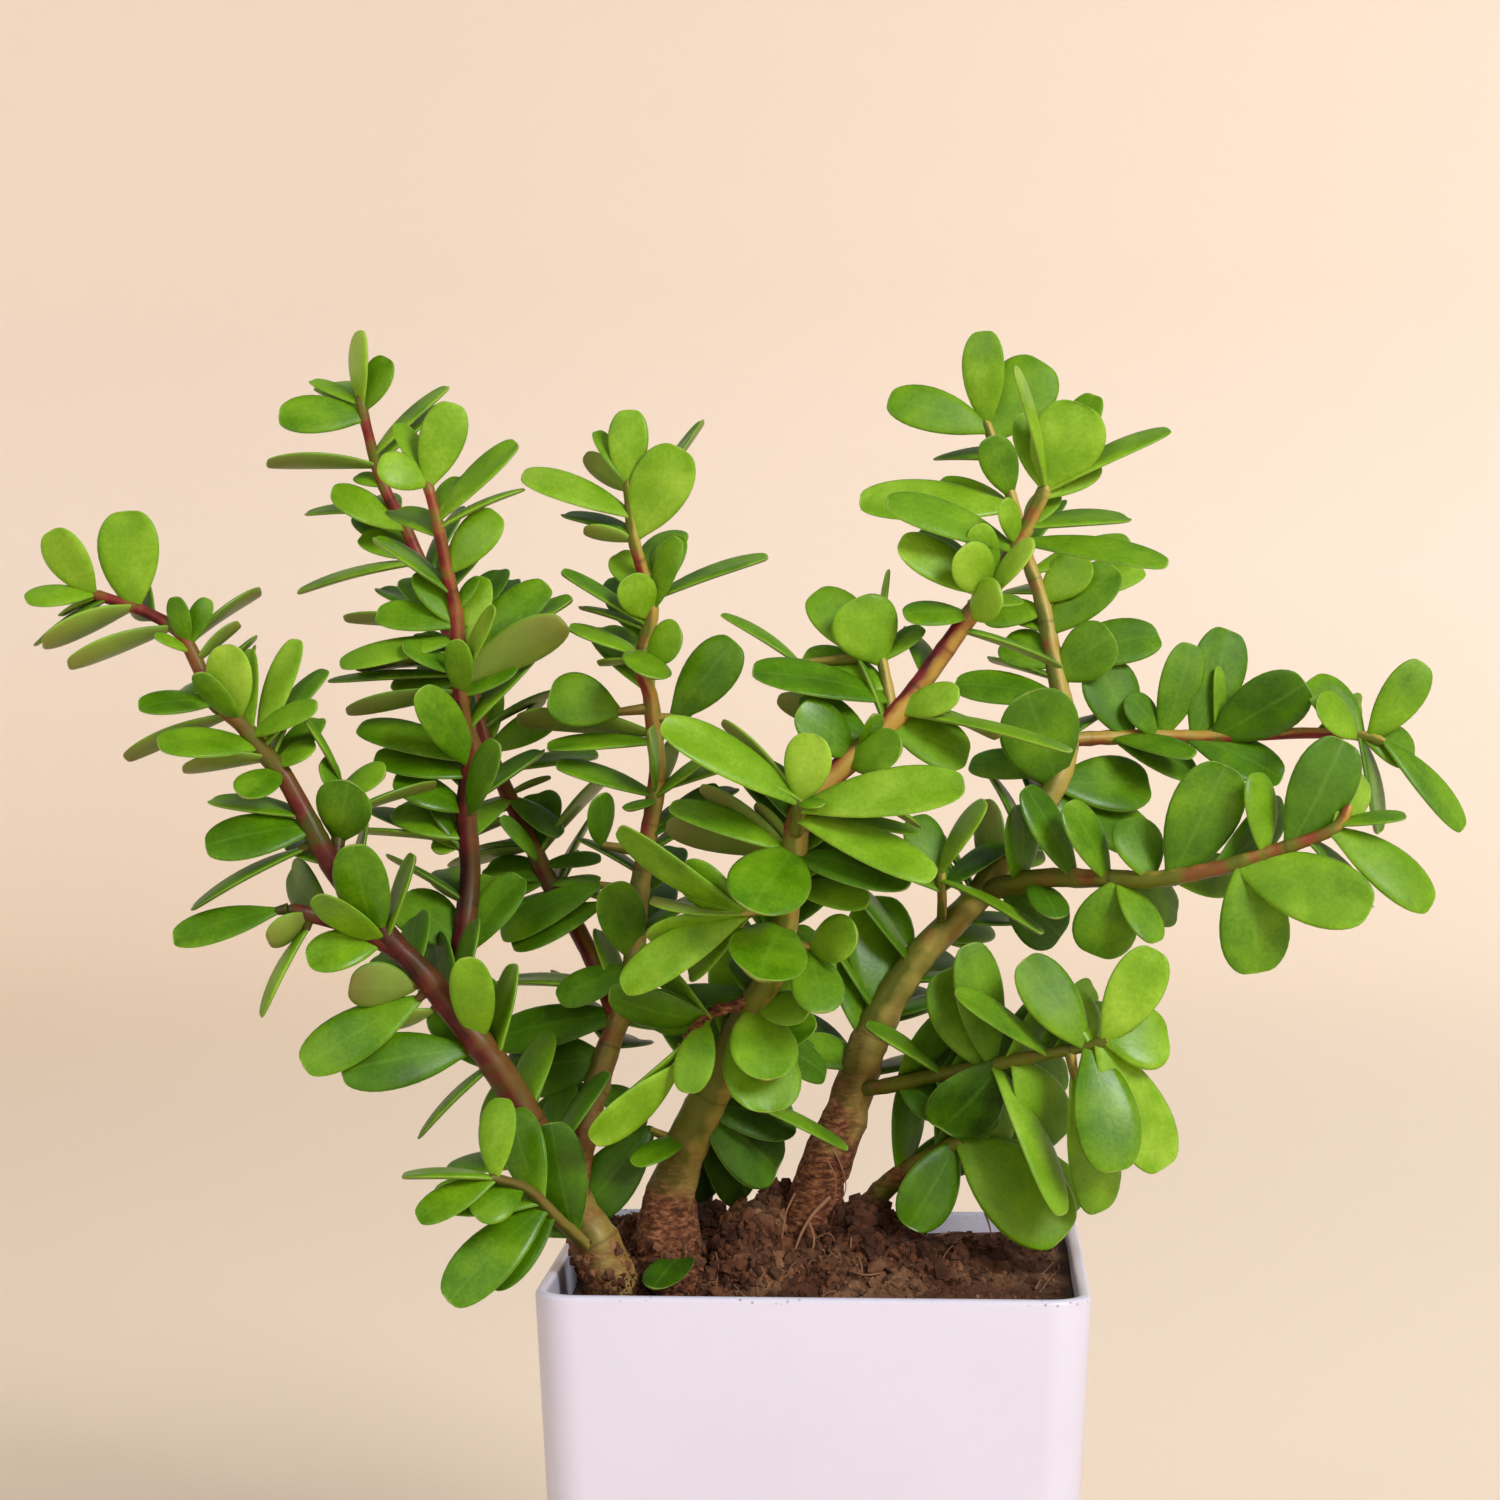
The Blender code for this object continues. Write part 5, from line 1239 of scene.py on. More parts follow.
def line_object(name, lines):
    """Edges along each line, whose rows are a point, radius, redness, wood, joint and scar."""
    edges = []
    first = 0
    for line in lines:
        edges += [(first + k, first + k + 1) for k in range(len(line) - 1)]
        first += len(line)
    places, *columns = zip(*[row for line in lines for row in line])
    mesh = bpy.data.meshes.new(name)
    mesh.from_pydata([place * MM for place in places], edges, [])
    thing = bpy.data.objects.new(name, mesh)
    bpy.context.scene.collection.objects.link(thing)
    for label, values in zip(("radius", "red", "wood", "joint", "scar"), columns):
        store(thing, label, values)
    return thing


def shoot_line(shoot, is_main):
    """A shoot's line, swollen at the root of each leaf."""
    path = smooth_route([sight(*point) for point in shoot["route"]], FINE_STEP, FINE_STEP_LEAST)
    roots = [neck_of(shoot["route"], row)[0] for row in shoot["leaves"]]
    length = travelled(path)[-1]
    line = []
    for share, point in zip(shares(path), path):
        nearest = min((point - root).length for root in roots)
        from_scar = (share * length) % SCAR_SPACING - SCAR_SPACING / 2
        joint = math.exp(-((nearest / SWELLING_REACH) ** 2))
        scar = math.exp(-((from_scar / SCAR_REACH) ** 2))
        swelling = STEM_SLIM + SWELLING * max(joint, 0.5 * scar)
        radius = spaced(shoot["thick"], share) / 2 * swelling * MM
        red, wood = spaced(shoot["red"], share), spaced(shoot["wood"], share)
        line.append((point, radius, red, wood, joint, scar))
    point, radius, *rest = line[-1]
    line[-1] = (point, radius * TIP_TAPER, *rest)
    if is_main:
        below = rooted(path)[:2]
        line = [(point, *line[0][1:]) for point in below] + line
    return line


def stalk_line(root, neck):
    """The thin stalk of a leaf whose blade stands off its stem."""
    line = []
    for part in range(STALK_PARTS + 1):
        share = part / STALK_PARTS
        radius = STALK_RADII[0] + (STALK_RADII[1] - STALK_RADII[0]) * share
        line.append((root.lerp(neck, share), radius * MM, STALK_REDNESS, 0.0, 0.0, 0.0))
    return line


for name, shoots in PLANTS.items():
    lines = [shoot_line(shoot, number == 0) for number, shoot in enumerate(shoots)]
    for shoot in shoots:
        for row in shoot["leaves"]:
            root, neck, depth, heading = neck_of(shoot["route"], row)
            if neck != root:
                lines.append(stalk_line(root, neck))
    stems = line_object(name.replace("leafy_stem", "stems"), lines)
    put_through(stems, grow, Sides=STEM_SIDES, Knobs=STEM_KNOBS, Finish=stem_skin)
    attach(stems, "root")
    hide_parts(name)


# Roots and broken stalks that lie on the soil, loose fibres among its crumbs, and soil that clings
# to the foot of each stem. They grew there or fell there, and nothing is fixed.
ROOT_LIFT = 0.35
ROOT_CLEAR = 4.5
ROOT_THINS = 0.28
ROOT_STAIN = 3.33
FIBRE_SEED = 31
FIBRES = 70
FIBRE_STEPS = 5
FIBRE_STRIDE = 1.6
FIBRE_WANDER = 0.8
FIBRE_LIFT = (0.2, 1.3)
FIBRE_THICK = (0.14, 0.34)
FIBRE_SIDES = 6
FIBRE_X = (-44.0, 44.0)
FIBRE_Y = (-46.0, 30.0)
CLING_BELOW = 104.0
CLING_FADE = 7.0
CLING_DEPTH = 4.0
CLING_PATCHES = 0.35
CLINGING = {"Density": 1.6e6, "Gathering": 1.0, "Least": 0.25, "Most": 1.2, "Seed": 5}

# Roots and twigs, each as (across, down, depth) with its thickness. Without a depth, a point lies
# on the soil where the viewer sees it.
ROOTS = (
    (((830, 1199, -5.0), (813, 1216, -6.5), (802, 1234, -8.0), (795, 1252, -9.0)), 1.0),
    (((808, 1222, -6.6), (814, 1240, -8.0), (811, 1260, -10.0)), 0.6),
    (((795, 1195, -6.0), (786, 1215, -8.0), (782, 1240, -10.0)), 0.5),
    (((832, 1150, -4.0), (842, 1170, -4.5), (846, 1190, -3.0), (840, 1205, -2.0)), 0.35),
    (((826, 1160, -4.5), (836, 1182, -6.0), (833, 1208, -6.0)), 0.3),
    (((844, 1271), (865, 1277), (886, 1274)), 0.6),
    (((985, 1215, 20.0), (989, 1226, 19.0), (992, 1240, 18.0)), 0.5),
    (((1036, 1290), (1046, 1272), (1056, 1264), (1062, 1272)), 0.4),
    (((1040, 1294), (1050, 1280), (1060, 1270), (1062, 1258)), 0.3),
    (((1036, 1280), (1050, 1268), (1060, 1250)), 0.3),
    (((930, 1240), (955, 1232), (980, 1237)), 0.5),
    (((740, 1262), (762, 1255), (780, 1262)), 0.4),
)


def inside_pot(point):
    """The point, kept clear of the pot's walls."""
    reach = POT_RIM_WIDTH / 2 - ROOT_CLEAR
    return Vector((*[max(-reach, min(reach, c)) for c in point.xy], point.z))


def on_soil(across, down):
    """The place on the soil that the viewer sees at this pixel, found in steps of half a mm."""
    for step in range(-95, 96):
        point = sight(across, down, step / 2)
        if point.z < crumbled(point.x, point.y):
            break
    return inside_pot(point)


def root_line(points, thick):
    """A root that thins towards its end, along a smooth curve through these points."""
    places = [sight(*point) if len(point) == 3 else on_soil(*point) for point in points]
    places = [place + Vector((0.0, 0.0, ROOT_LIFT)) for place in places]
    path = smooth_route(places, 1.0, 0.5)
    return [
        (point, thick * MM * (0.5 - ROOT_THINS * share), 0.3, 1.0, 0.0, 0.0)
        for share, point in zip(shares(path), path)
    ]


def fibre_line(draw):
    """A fine root fibre that wanders over the broken soil."""
    while True:
        x, y = draw.uniform(*FIBRE_X), draw.uniform(*FIBRE_Y)
        if draw.random() < heaped(x, y) ** 2:
            break
    turn, thick = draw.uniform(0, math.tau), draw.uniform(*FIBRE_THICK)
    places = []
    for step in range(FIBRE_STEPS):
        place = inside_pot(Vector((x, y, 0.0)))
        place.z = crumbled(place.x, place.y) + draw.uniform(*FIBRE_LIFT)
        places.append(place)
        turn += draw.uniform(-FIBRE_WANDER, FIBRE_WANDER)
        x += math.cos(turn) * FIBRE_STRIDE
        y += math.sin(turn) * FIBRE_STRIDE
    path = smooth_route(places, 0.8, 0.4)
    return [(point, thick * MM / 2, 0.2, 1.0, 0.0, 0.0) for point in path]


# Dry root skin: pale tan and dull, so the roots stand out against the dark soil.
root_skin, tree, shader = new_material("dry root skin")
place = node(tree, "ShaderNodeTexCoord", take="Object")
stain = node(
    tree, "ShaderNodeTexNoise", {"Vector": place, "Scale": per_metre(ROOT_STAIN), "Detail": 3.0}
)
mixed = {"Factor": stain, "A": linear("#4A2C1C"), "B": linear("#A0744F")}
colour = node(tree, "ShaderNodeMix", mixed, data_type="RGBA")
fill(tree, shader, {"Base Color": colour, "Roughness": 0.8})

draw = random.Random(FIBRE_SEED)
lines = [root_line(*row) for row in ROOTS] + [fibre_line(draw) for k in range(FIBRES)]
roots = line_object("roots", lines)
put_through(roots, grow, Sides=FIBRE_SIDES, Knobs=0.0, Finish=root_skin)
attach(roots, "root")
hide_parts("soil")

for name in PLANTS:
    stems = bpy.data.objects[name.replace("leafy_stem", "stems")]
    clinging = copy_of(stems, name.replace("leafy_stem", "soil_on"))
    clings = []
    for vertex in clinging.data.vertices:
        spot = vertex.co / MM
        above = (CLING_BELOW - spot.z) / CLING_FADE + noise.noise(spot * CLING_PATCHES)
        near_soil = spot.z > SOIL_LEVEL - CLING_DEPTH
        clings.append(max(0.0, min(1.0, above)) if near_soil else 0.0)
    store(clinging, "broken", clings)
    put_through(clinging, scatter, Crumb=crumb, Finish=potting_soil, **CLINGING)
    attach(clinging, "root")
    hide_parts(name)
bpy.data.objects.remove(crumb)


# The leaves: fleshy paddles in pairs along each shoot, smooth and faintly glossy, with a rounded
# tip and a thin pale margin. Each is bent clear of its neighbours as it is set in its place, in
# the order in which the rows stand above.
LEAF_THICK_BASE = 0.9
LEAF_THICK_SHARE = 0.11
LEAF_NECK = 0.15
LEAF_WIDEST = 0.62
LEAF_ARCH = 0.035
LEAF_NECK_THICK = 0.65
LEAF_SUNK = 1.0
LEAF_BLADE_FROM = 0.3
LARGE_RIM = (0.24, 0.54, 0.82, 0.98)
LARGE_RIDGE = (0.34, 0.7)
SMALL_RIM = (0.35, 0.75, 0.98)
SMALL_RIDGE = (0.45,)
LEAF_CLEAR = 0.45
SMALL_LEAF = 8.6
LARGE_LEAF = 12.5

# Leaves on the far side follow a rule: spaced up each shoot, turned by a seeded draw.
FAR_SEED = 11
FAR_SPACING = 10.0
FAR_BARE = 30.0
FAR_SHORT = 2.0
FAR_TURNS = (-62.0, -22.0, 22.0, 62.0)
FAR_TWIST = (-12.0, 12.0)
FAR_LEAN = (48.0, 76.0)
FAR_UNEVEN = (0.8, 1.2)
FAR_LENGTH = (16.0, 22.0)
FAR_SHAPE = 0.5

# How a leaf that would cross another piece is bent clear, gentlest first.
TRY_REACH = (0, 3, -3, 6, -6, 10, -10, 15, -15)
TRY_TURN = (0, 20, -20, 40, -40)
TRY_SWING = (0, 6, -6, 13, -13)
TRY_LENGTH = (1.0, 0.88, 0.76)
TRY_MOST = 260
TRY_COSTS = (0.33, 0.05, 0.22, 18.0)


def half_width(s):
    """Half the blade's width at a share of its length, as a share of the widest half."""
    if s > LEAF_WIDEST:
        return math.sqrt(max(0.0, 1 - ((s - LEAF_WIDEST) / (1 - LEAF_WIDEST)) ** 2))
    return LEAF_NECK + (1 - LEAF_NECK) * math.sin(math.pi / 2 * s / LEAF_WIDEST)


def leaf_solid(root, neck, tip, up, width, clear=0.0, blade_only=False):
    """Points and triangles of a paddle leaf, which widens from a point inside its stem.

    Its stalk runs from root to neck. clear makes the leaf that much bigger all round, and
    blade_only leaves out its narrow end.
    """
    along = (tip - neck).normalized()
    up = (up - along * up.dot(along)).normalized()
    left = up.cross(along)
    length = (tip - neck).length
    thick = LEAF_THICK_BASE + LEAF_THICK_SHARE * width + 2 * clear
    rim = SMALL_RIM if width < SMALL_LEAF else LARGE_RIM
    ridge = LARGE_RIDGE if width > LARGE_LEAF else SMALL_RIDGE

    def centre(s):
        return neck + along * (length * s) + up * (LEAF_ARCH * length * 4 * s * (1 - s))

    start = root - (neck - root + along).normalized() * LEAF_SUNK
    if blade_only:
        start = centre(LEAF_BLADE_FROM)
        rim = tuple(s for s in rim if s > LEAF_BLADE_FROM)
        ridge = tuple(s for s in ridge if s > LEAF_BLADE_FROM)
    elif (neck - root).length > STALK_LEAST:
        rim = (0.0,) + rim
        ridge = (0.0,) + ridge
    lefts = [centre(s) + left * (half_width(s) * width / 2 + clear) for s in rim]
    rights = [centre(s) - left * (half_width(s) * width / 2 + clear) for s in rim]
    uppers = [centre(s) + up * (thick / 2 * (1 if s > 0 else LEAF_NECK_THICK)) for s in ridge]
    lowers = [centre(s) - up * (thick / 2 * (1 if s > 0 else LEAF_NECK_THICK)) for s in ridge]
    points = lefts + rights + uppers + lowers + [start]
    numbers = iter(range(len(points)))
    chains = [list(itertools.islice(numbers, len(row))) for row in (lefts, rights, uppers, lowers)]
    left_chain, right_chain, upper_chain, lower_chain = chains
    faces = []

    def stitch(edge, spine, turned):
        i, j = 0, 0
        while i < len(edge) - 1 or j < len(spine) - 1:
            spine_done = j == len(spine) - 1
            if spine_done or (i < len(edge) - 1 and rim[i + 1] <= ridge[j + 1]):
                face = (spine[j], edge[i + 1], edge[i])
                i += 1
            else:
                face = (spine[j], spine[j + 1], edge[i])
                j += 1
            faces.append(tuple(reversed(face)) if turned else face)

    stitch(left_chain, upper_chain, False)
    stitch(right_chain, upper_chain, True)
    stitch(left_chain, lower_chain, True)
    stitch(right_chain, lower_chain, False)
    collar = (left_chain[0], lower_chain[0], right_chain[0], upper_chain[0])
    for i in range(4):
        faces.append((collar[i], collar[(i + 1) % 4], len(points) - 1))
    faces.append((right_chain[-1], lower_chain[-1], left_chain[-1]))
    faces.append((right_chain[-1], left_chain[-1], upper_chain[-1]))
    return points, faces


def obstacle(points, faces):
    low = Vector([min(point[k] for point in points) for k in range(3)])
    high = Vector([max(point[k] for point in points) for k in range(3)])
    return low, high, BVHTree.FromPolygons(points, faces)


def meets(shape, obstacles):
    points, faces = shape
    low, high, tree = obstacle(points, faces)
    for other_low, other_high, other in obstacles:
        if all(low[k] <= other_high[k] and high[k] >= other_low[k] for k in range(3)):
            if tree.overlap(other):
                return True
    return False


def bends():
    """Reach, turn, swing and length for each try, gentlest first."""
    tries = itertools.product(TRY_REACH, TRY_TURN, TRY_SWING, TRY_LENGTH)
    reach_cost, turn_cost, swing_cost, length_cost = TRY_COSTS

    def cost(row):
        reach, turn, swing, length = row
        return (
            abs(reach) * reach_cost
            + abs(turn) * turn_cost
            + abs(swing) * swing_cost
            + (1 - length) * length_cost
        )

    return sorted(tries, key=cost)[:TRY_MOST]


BENDS = bends()


def bent_clear(leaf, own, others):
    """The leaf, bent clear of every other piece, or None where no bend clears it."""
    root, neck, tip, up, width = leaf
    second_best = None
    view = (neck - EYE).normalized()
    for reach, turn, swing, length in BENDS:
        reached = tip - neck + (tip - EYE).normalized() * reach
        arm = Matrix.Rotation(math.radians(swing), 3, view) @ (reached * length)
        turned = Matrix.Rotation(math.radians(turn), 3, arm.normalized()) @ up
        bent = (root, neck, neck + arm, turned, width)
        if meets(leaf_solid(*bent, clear=LEAF_CLEAR), others):
            continue
        if not meets(leaf_solid(*bent, blade_only=True), own):
            return bent
        second_best = second_best or bent
    return second_best


def seen_leaf(route, row):
    """A leaf from its row: root and tip where the viewer sees them, and its upper face turned."""
    tip_x, tip_y, reach, width, face = row[2:]
    root, neck, depth, heading = neck_of(route, row)
    tip = sight(tip_x, tip_y, depth + reach)
    along = (tip - neck).normalized()
    to_eye = (EYE - neck).normalized()
    to_eye = (to_eye - along * to_eye.dot(along)).normalized()
    beside = along.cross(to_eye)
    if beside.dot(heading) < 0:
        beside = -beside
    turn = math.radians(face)
    return root, neck, tip, beside * math.cos(turn) + to_eye * math.sin(turn), width


def far_leaves(path, draw):
    """Leaves on the side of a shoot that the viewer doesn't see."""
    total = travelled(path)[-1]
    leaves = []
    along_path = FAR_BARE if total > 2 * FAR_BARE else FAR_SPACING
    while along_path < total - FAR_SHORT:
        walked = 0.0
        for a, b in zip(path, path[1:]):
            step = (b - a).length
            if walked + step >= along_path:
                break
            walked += step
        heading = (b - a).normalized()
        root = a + heading * (along_path - walked)
        away = EYE_AHEAD - heading * EYE_AHEAD.dot(heading)
        turn = draw.choice(FAR_TURNS) + draw.uniform(*FAR_TWIST)
        out = Matrix.Rotation(math.radians(turn), 3, heading) @ away.normalized()
        lean = math.radians(draw.uniform(*FAR_LEAN))
        along = heading * math.cos(lean) + out * math.sin(lean)
        length = draw.uniform(*FAR_LENGTH)
        leaves.append((root, root, root + along * length, heading, length * FAR_SHAPE))
        along_path += FAR_SPACING * draw.uniform(*FAR_UNEVEN)
    return leaves


def frame_solid(name):
    """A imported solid's points in millimetres, with its faces."""
    mesh = frame["nodes"][name].data
    return [vertex.co / MM for vertex in mesh.vertices], [tuple(f.vertices) for f in mesh.polygons]


# More leaves stand in the shade where the plant is thickest, inside these ellipses of the picture.
INNER_LAYERS = 2
THICKETS = ((450, 720, 110, 220), (600, 930, 240, 210), (900, 900, 230, 190), (1010, 1080, 110, 90))

# How young a leaf on the far side and in the shade is, and how much paler than the rest it is
# painted: below zero it is painted into shade.
FAR_LOOK = (0.5, -0.1)
INNER_LOOK = (0.3, -0.4)

# Leaves that the photograph shows paler or darker than the rest, by the pixel of their tip. The
# difference is painted light: a painted sheen on the paler ones, painted shade on the darker ones.
LEAF_PAINTED_LIGHT = {
    (657, 722): 0.2, (968, 787): 0.5, (1076, 750): 0.7, (958, 694): 0.6, (1035, 543): 0.8,
    (998, 590): 0.9, (962, 550): 0.8, (652, 1293): -1.2, (905, 1228): -1.0, (857, 932): 0.5,
    (823, 1011): 0.5, (940, 1128): -0.8, (1120, 1174): -0.4, (888, 394): -0.5, (174, 947): -0.5,
    (443, 1300): -0.4, (338, 1070): -0.3, (302, 1070): -0.2, (500, 938): -0.6, (752, 981): 0.5,
    (770, 1080): 0.7, (1069, 1216): 0.5, (1083, 402): -0.2, (490, 1290): -0.4, (560, 1200): -0.2,
    (775, 1170): -1.0, (792, 1122): -1.2, (752, 1196): -1.2, (716, 1196): -1.2, (765, 1117): 0.4,
    (972, 524): 0.8, (485, 575): 0.7, (498, 607): 0.7, (628, 575): 0.7, (645, 679): 0.3,
    (1306, 679): -0.6, (1345, 738): -0.8, (910, 889): -0.6, (938, 875): 0.5, (923, 826): 0.4,
    (816, 733): 0.6, (797, 708): -0.7, (225, 643): 0.6, (299, 638): 0.5, (359, 329): 0.6,
    (127, 509): 0.4,
}


def in_thicket(point):
    """Whether the viewer sees this point inside the thick of the plant."""
    from_eye = point - EYE
    scale = EYE_FOCAL_PX / from_eye.dot(EYE_AHEAD)
    across = EYE_CENTRE_PX + from_eye.dot(EYE_RIGHT) * scale
    down = EYE_CENTRE_PX - from_eye.dot(EYE_UP) * scale
    return any(
        math.hypot((across - x) / wide, (down - y) / high) < 1 for x, y, wide, high in THICKETS
    )


def grow_leaves():
    """Every leaf, set clear of the others, by node, with how young it is and its painted light."""
    obstacles = {name: [obstacle(*frame_solid(name))] for name in ("pot", "soil")}
    blades = {}
    leaves = {name: [] for name in PLANTS}
    paths = []
    for name, shoots in PLANTS.items():
        obstacles[name] = []
        for number, shoot in enumerate(shoots):
            route = [sight(*point) for point in shoot["route"]]
            path = smooth_route(route, STEM_STEP, STEM_STEP_LEAST)
            paths.append((name, path))
            radii = [spaced(shoot["thick"], share) / 2 for share in shares(path)]
            if number == 0:
                path = rooted(path)
                radii = [radii[0] * ROOT_TAPER**2, radii[0] * ROOT_TAPER] + radii
            sides = THICK_SIDES if shoot["thick"][0] > THICK_STEM else THIN_SIDES
            obstacles[name].append(obstacle(*tube(path, radii, sides)))
        blades[name] = list(obstacles[name])

    def set_leaf(name, leaf, youth, painted_light):
        others = [row for other, rows in obstacles.items() if other != name for row in rows]
        bent = bent_clear(leaf, blades[name], others)
        if bent is not None:
            leaves[name].append((bent, youth, painted_light))
            obstacles[name].append(obstacle(*leaf_solid(*bent)))
            blades[name].append(obstacle(*leaf_solid(*bent, blade_only=True)))

    for name, shoots in PLANTS.items():
        for shoot in shoots:
            start, end = sight(*shoot["route"][0]), sight(*shoot["route"][-1])
            for row in shoot["leaves"]:
                leaf = seen_leaf(shoot["route"], row)
                youth = (leaf[0] - start).dot(end - start) / (end - start).length_squared
                set_leaf(name, leaf, youth, LEAF_PAINTED_LIGHT.get(row[2:4], 0.0))
    draw = random.Random(FAR_SEED)
    for layer in range(1 + INNER_LAYERS):
        for name, path in paths:
            for leaf in far_leaves(path, draw):
                if layer == 0:
                    set_leaf(name, leaf, *FAR_LOOK)
                elif in_thicket(leaf[2]):
                    set_leaf(name, leaf, *INNER_LOOK)
    return leaves


LEAF_CLOUDS = 8.33
LEAF_FLECKS = 0.714
LEAF_WAX = 25.0

# Living leaf: a waxy skin over wet green flesh, so light sinks in a little and the sheen is soft.
# Young leaves are yellower, the underside is duller and browned towards its tip, a faint rib runs
# along the middle, and the margin is thin, pale and clear. Each leaf's tone also carries painted
# light: a painted sheen on some leaves, and painted shade on those that lie in shadow.
leaf_skin, tree, shader = new_material("succulent leaf")
place = node(tree, "ShaderNodeTexCoord", take="Object")
tone, across, lengthwise, margin, face = (
    node(tree, "ShaderNodeAttribute", take="Fac", attribute_name=label)
    for label in ("tone", "across", "along", "margin", "face")
)
clouds, flecks, wax = (
    node(tree, "ShaderNodeTexNoise", {"Vector": place, "Scale": per_metre(size), "Detail": detail})
    for size, detail in ((LEAF_CLOUDS, 3.0), (LEAF_FLECKS, 2.0), (LEAF_WAX, 1.0))
)
freckled = node(tree, "ShaderNodeMath", {0: flecks, 1: 0.24, 2: tone}, operation="MULTIPLY_ADD")
shade = node(tree, "ShaderNodeMath", {0: clouds, 1: 0.7, 2: freckled}, operation="MULTIPLY_ADD")
shift = node(tree, "ShaderNodeMath", {0: shade, 1: -0.47}, operation="ADD")
upper = node(tree, "ShaderNodeValToRGB", {"Fac": shift})
blend_stops(upper, ((0.0, "#1F3F00"), (0.38, "#457002"), (0.66, "#6A9412"), (1.0, "#96B83A")))
off_middle = node(tree, "ShaderNodeMath", {0: across}, operation="ABSOLUTE")
under, rib, edge, tip = (
    node(
        tree, "ShaderNodeMapRange",
        {"Value": value, "From Min": start, "From Max": end, "To Min": low, "To Max": high},
    )
    for value, start, end, low, high in (
        (face, -0.05, -0.45, 0.0, 0.55),
        (off_middle, 0.0, 0.09, 0.2, 0.0),
        (margin, 0.84, 0.99, 0.0, 0.45),
        (lengthwise, 0.55, 1.0, 0.0, 0.8),
    )
)
browned = node(tree, "ShaderNodeMath", {0: tip, 1: under}, operation="MULTIPLY")
colour = upper
for amount, coat in ((under, "#7B8442"), (rib, "#6E9630"), (edge, "#94AE4E"), (browned, "#6B4A2A")):
    mixed = {"Factor": amount, "A": colour, "B": linear(coat)}
    colour = node(tree, "ShaderNodeMix", mixed, data_type="RGBA")
sheen = node(
    tree, "ShaderNodeMapRange",
    {"Value": wax, "From Min": 0.35, "From Max": 0.6, "To Min": 0.3, "To Max": 0.56},
)
bump = node(tree, "ShaderNodeBump", {"Height": flecks, "Strength": 0.12, "Distance": 0.0003})
fill(tree, shader, {"Base Color": colour, "Roughness": sheen, "Normal": bump})
fill(tree, shader, {"Specular IOR Level": 0.22, "Subsurface Weight": 0.15})
fill(tree, shader, {"Subsurface Scale": 0.003, "Subsurface Radius": (0.5, 1.0, 0.25)})

# The leaf's sections and the points round one section, as shares of its length, of half its width
# and of half its thickness, a little full because the surface is rounded afterwards.
LEAF_SECTIONS = (
    # share of the length, half width, flesh
    (-0.05, 0.17, 0.55), (0.07, 0.36, 0.72), (0.22, 0.74, 0.95), (0.42, 1.02, 1.0),
    (0.62, 1.12, 0.97), (0.8, 1.02, 0.84), (0.93, 0.72, 0.62), (0.985, 0.4, 0.4),
)
LEAF_OUTLINE = (
    (1.0, 0.0), (0.66, 0.66), (0.0, 0.7), (-0.66, 0.66),
    (-1.0, 0.0), (-0.66, -0.74), (0.0, -1.05), (0.66, -0.74),
)
TIP_FROM = 0.98

# How each leaf varies by a seeded draw: its curl, its bend to one side, its cupping and its tone.
FORM_SEED = 23
CURL = (-0.07, 0.03)
BEND = (-0.04, 0.04)
CUPPING = (-0.02, 0.16)
TONE = (0.33, 0.28, 0.3)
TONE_SPREAD = 0.13


def paddle():
    """One leaf along +Y, 1 long, 1 in half width and 1 in half thickness, its upper face to +Z."""
    rows = [(share, wide, flesh, x, z) for share, wide, flesh in LEAF_SECTIONS for x, z in LEAF_OUTLINE]
    points = [Vector((x * wide, share, z * flesh)) / MM for share, wide, flesh, x, z in rows]
    count = len(LEAF_OUTLINE)
    faces = [tuple(range(count)), tuple(reversed(range(len(points) - count, len(points))))]
    for near in range(0, len(points) - count, count):
        far = near + count
        for i in range(count):
            j = (i + 1) % count
            faces.append((near + j, near + i, far + i, far + j))
    leaf = new_object("paddle", points, faces, leaf_skin)
    store(leaf, "along", [row[0] for row in rows])
    store(leaf, "across", [row[3] for row in rows])
    store(leaf, "face", [row[4] for row in rows])
    store(leaf, "margin", [1.0 if row[0] > TIP_FROM else abs(row[3]) ** 4 for row in rows])
    return leaf


def leaf_points(name, leaves, draw):
    """A point at each leaf's neck, with how it is turned, sized, curled and coloured."""
    columns = {"turn": [], "size": [], "lift": [], "sway": [], "form": []}
    tones = []
    for (root, neck, tip, up, width), youth, painted_light in leaves:
        along = (tip - neck).normalized()
        up = (up - along * up.dot(along)).normalized()
        beside = along.cross(up)
        length = (tip - neck).length
        thick = LEAF_THICK_BASE + LEAF_THICK_SHARE * width
        columns["turn"].append(Matrix((beside, along, up)).transposed().to_euler())
        columns["size"].append(Vector((width / 2, length, thick / 2)) * MM)
        columns["lift"].append(up * length * MM)
        columns["sway"].append(beside * length * MM)
        curl, bend = draw.uniform(*CURL), draw.uniform(*BEND)
        columns["form"].append((curl, bend, draw.uniform(*CUPPING) * width / length))
        # The tone takes in painted light: higher for leaves painted lit, lower for those painted into
        # shade.
        middle, by_youth, by_painted_light = TONE
        tone = middle + by_youth * youth + by_painted_light * painted_light
        tones.append(tone + draw.uniform(-TONE_SPREAD, TONE_SPREAD))
    mesh = bpy.data.meshes.new(name)
    mesh.from_pydata([leaf[0][1] * MM for leaf in leaves], [], [])
    for label, rows in columns.items():
        layer = mesh.attributes.new(label, "FLOAT_VECTOR", "POINT")
        layer.data.foreach_set("vector", [value for row in rows for value in row])
    thing = bpy.data.objects.new(name, mesh)
    bpy.context.scene.collection.objects.link(thing)
    store(thing, "tone", tones)
    return thing


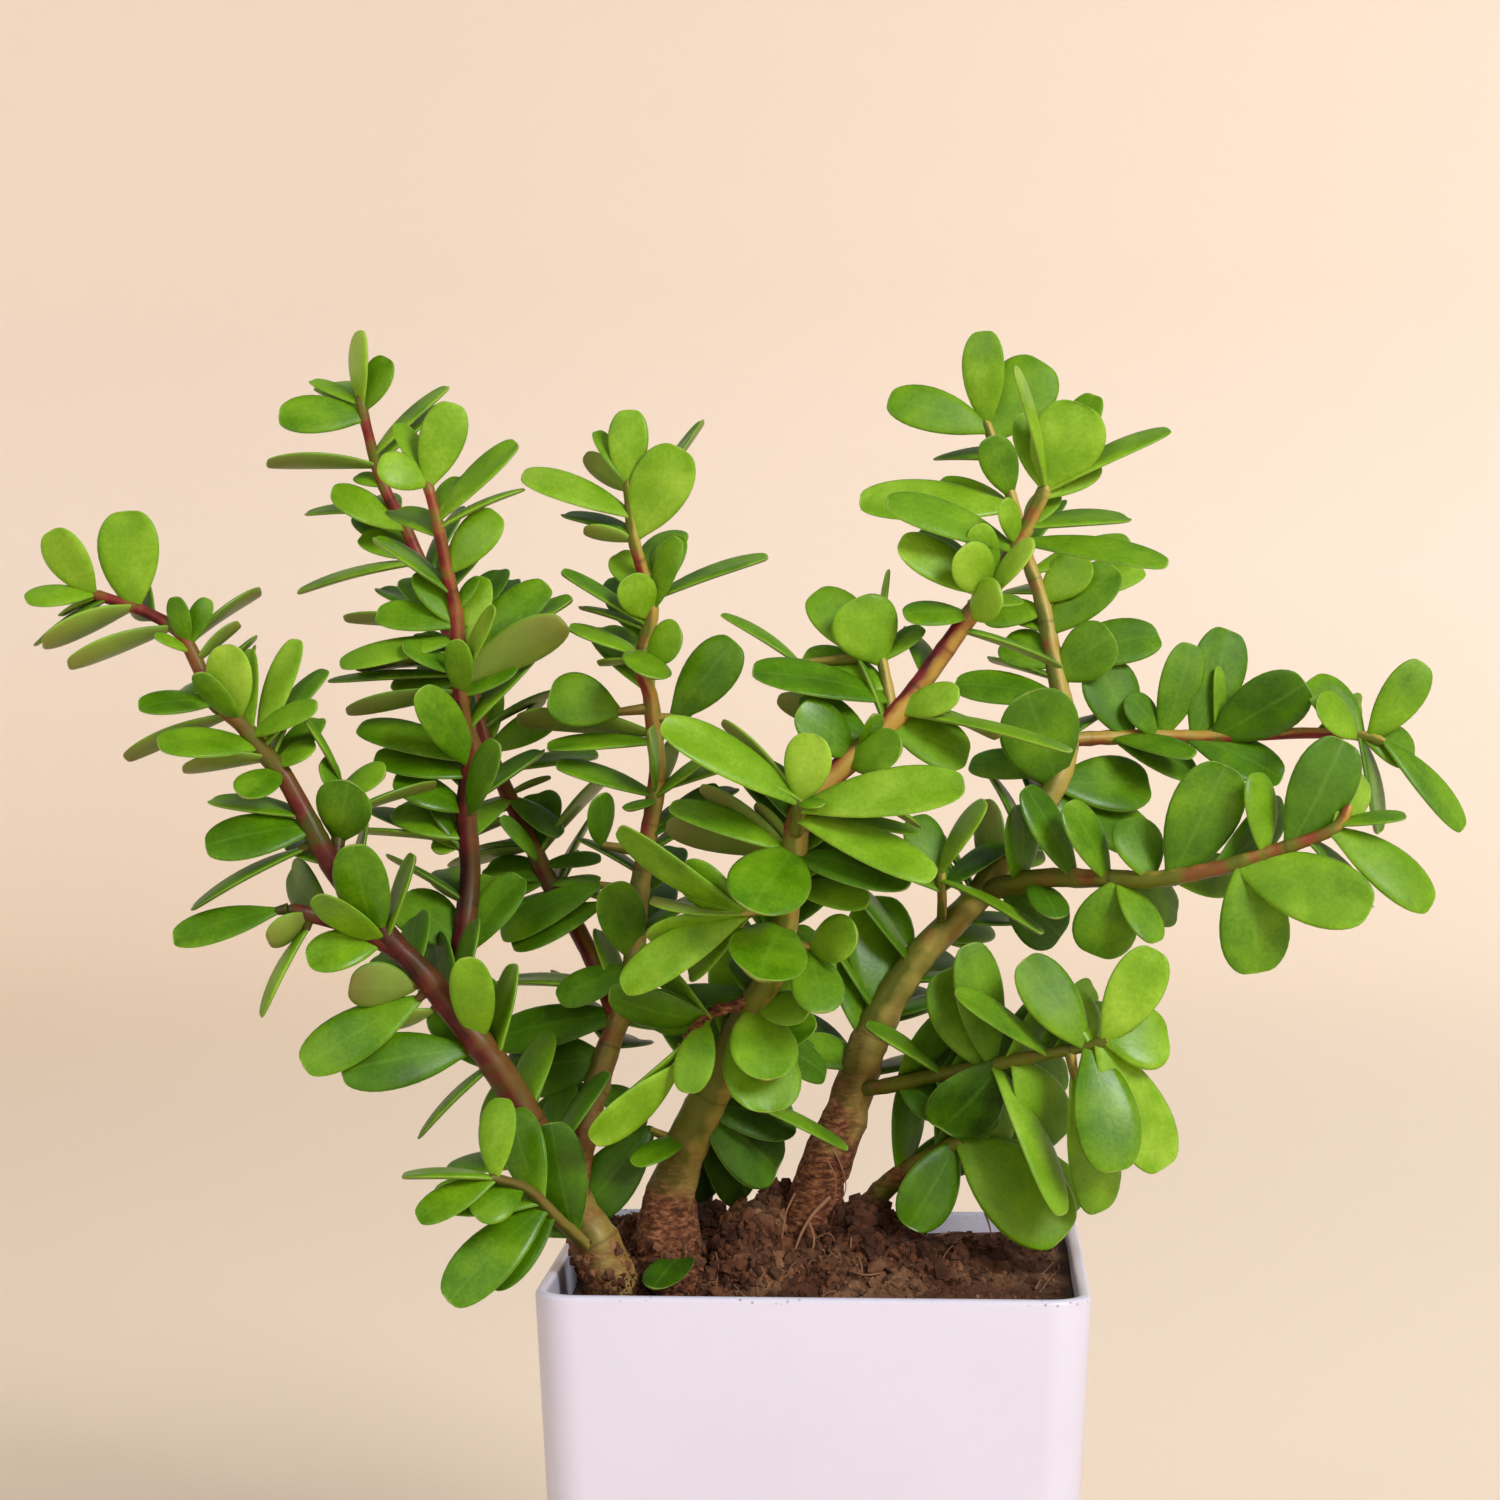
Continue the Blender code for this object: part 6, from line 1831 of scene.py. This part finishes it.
leafing, given = new_tree(
    "leaves set on their stems", Blade="Object", Arch="Float", Finish="Material"
)
held = {"arching": given["Arch"]}
for label in ("turn", "size", "lift", "sway", "form", "along", "across"):
    kind = "FLOAT" if label in ("along", "across") else "FLOAT_VECTOR"
    held[label] = node(
        leafing, "GeometryNodeInputNamedAttribute", {"Name": label}, data_type=kind
    )
for label, axis in (("curling", "X"), ("bending", "Y"), ("cupping", "Z")):
    held[label] = node(leafing, "ShaderNodeSeparateXYZ", {0: held["form"]}, take=axis)

# How far each point of a leaf rises and sways, as shares of the leaf's length.
for label, operation, *terms in (
    ("squared", "MULTIPLY", "along", "along"),
    ("hump", "SUBTRACT", "along", "squared"),
    ("arch", "MULTIPLY", "hump", "arching"),
    ("curl", "MULTIPLY", "squared", "curling"),
    ("off_rib", "ABSOLUTE", "across"),
    ("trough", "MULTIPLY", "off_rib", "cupping"),
    ("cup", "MULTIPLY", "trough", "along"),
    ("arched", "ADD", "arch", "curl"),
    ("rise", "ADD", "arched", "cup"),
    ("bend", "MULTIPLY", "squared", "bending"),
):
    values = {number: held[term] for number, term in enumerate(terms)}
    held[label] = node(leafing, "ShaderNodeMath", values, operation=operation)

paddles = node(leafing, "GeometryNodeObjectInfo", {"Object": given["Blade"]}, take="Geometry")
turned = node(leafing, "FunctionNodeEulerToRotation", {0: held["turn"]})
set_out = node(
    leafing, "GeometryNodeInstanceOnPoints",
    {"Points": given["Geometry"], "Instance": paddles, "Rotation": turned, "Scale": held["size"]},
)
real = node(leafing, "GeometryNodeRealizeInstances", {0: set_out})
upward, sideways = (
    node(leafing, "ShaderNodeVectorMath", {0: held[way], "Scale": held[share]}, operation="SCALE")
    for way, share in (("lift", "rise"), ("sway", "bend"))
)
moved = node(leafing, "ShaderNodeVectorMath", {0: upward, 1: sideways}, operation="ADD")
curled = node(leafing, "GeometryNodeSetPosition", {"Geometry": real, "Offset": moved})
end_tree(leafing, curled, given["Finish"])

blade = paddle()
draw = random.Random(FORM_SEED)
for name, grown in grow_leaves().items():
    leaves = leaf_points(name.replace("leafy_stem", "leaves"), grown, draw)
    put_through(leaves, leafing, Blade=blade, Arch=4 * LEAF_ARCH, Finish=leaf_skin)
    smoother = leaves.modifiers.new("rounding", "SUBSURF")
    smoother.levels = 1
    smoother.render_levels = 1
    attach(leaves, "root")
    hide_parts(name)
bpy.data.objects.remove(blade)


sizes = {"cad": cad_box, "visual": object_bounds()}
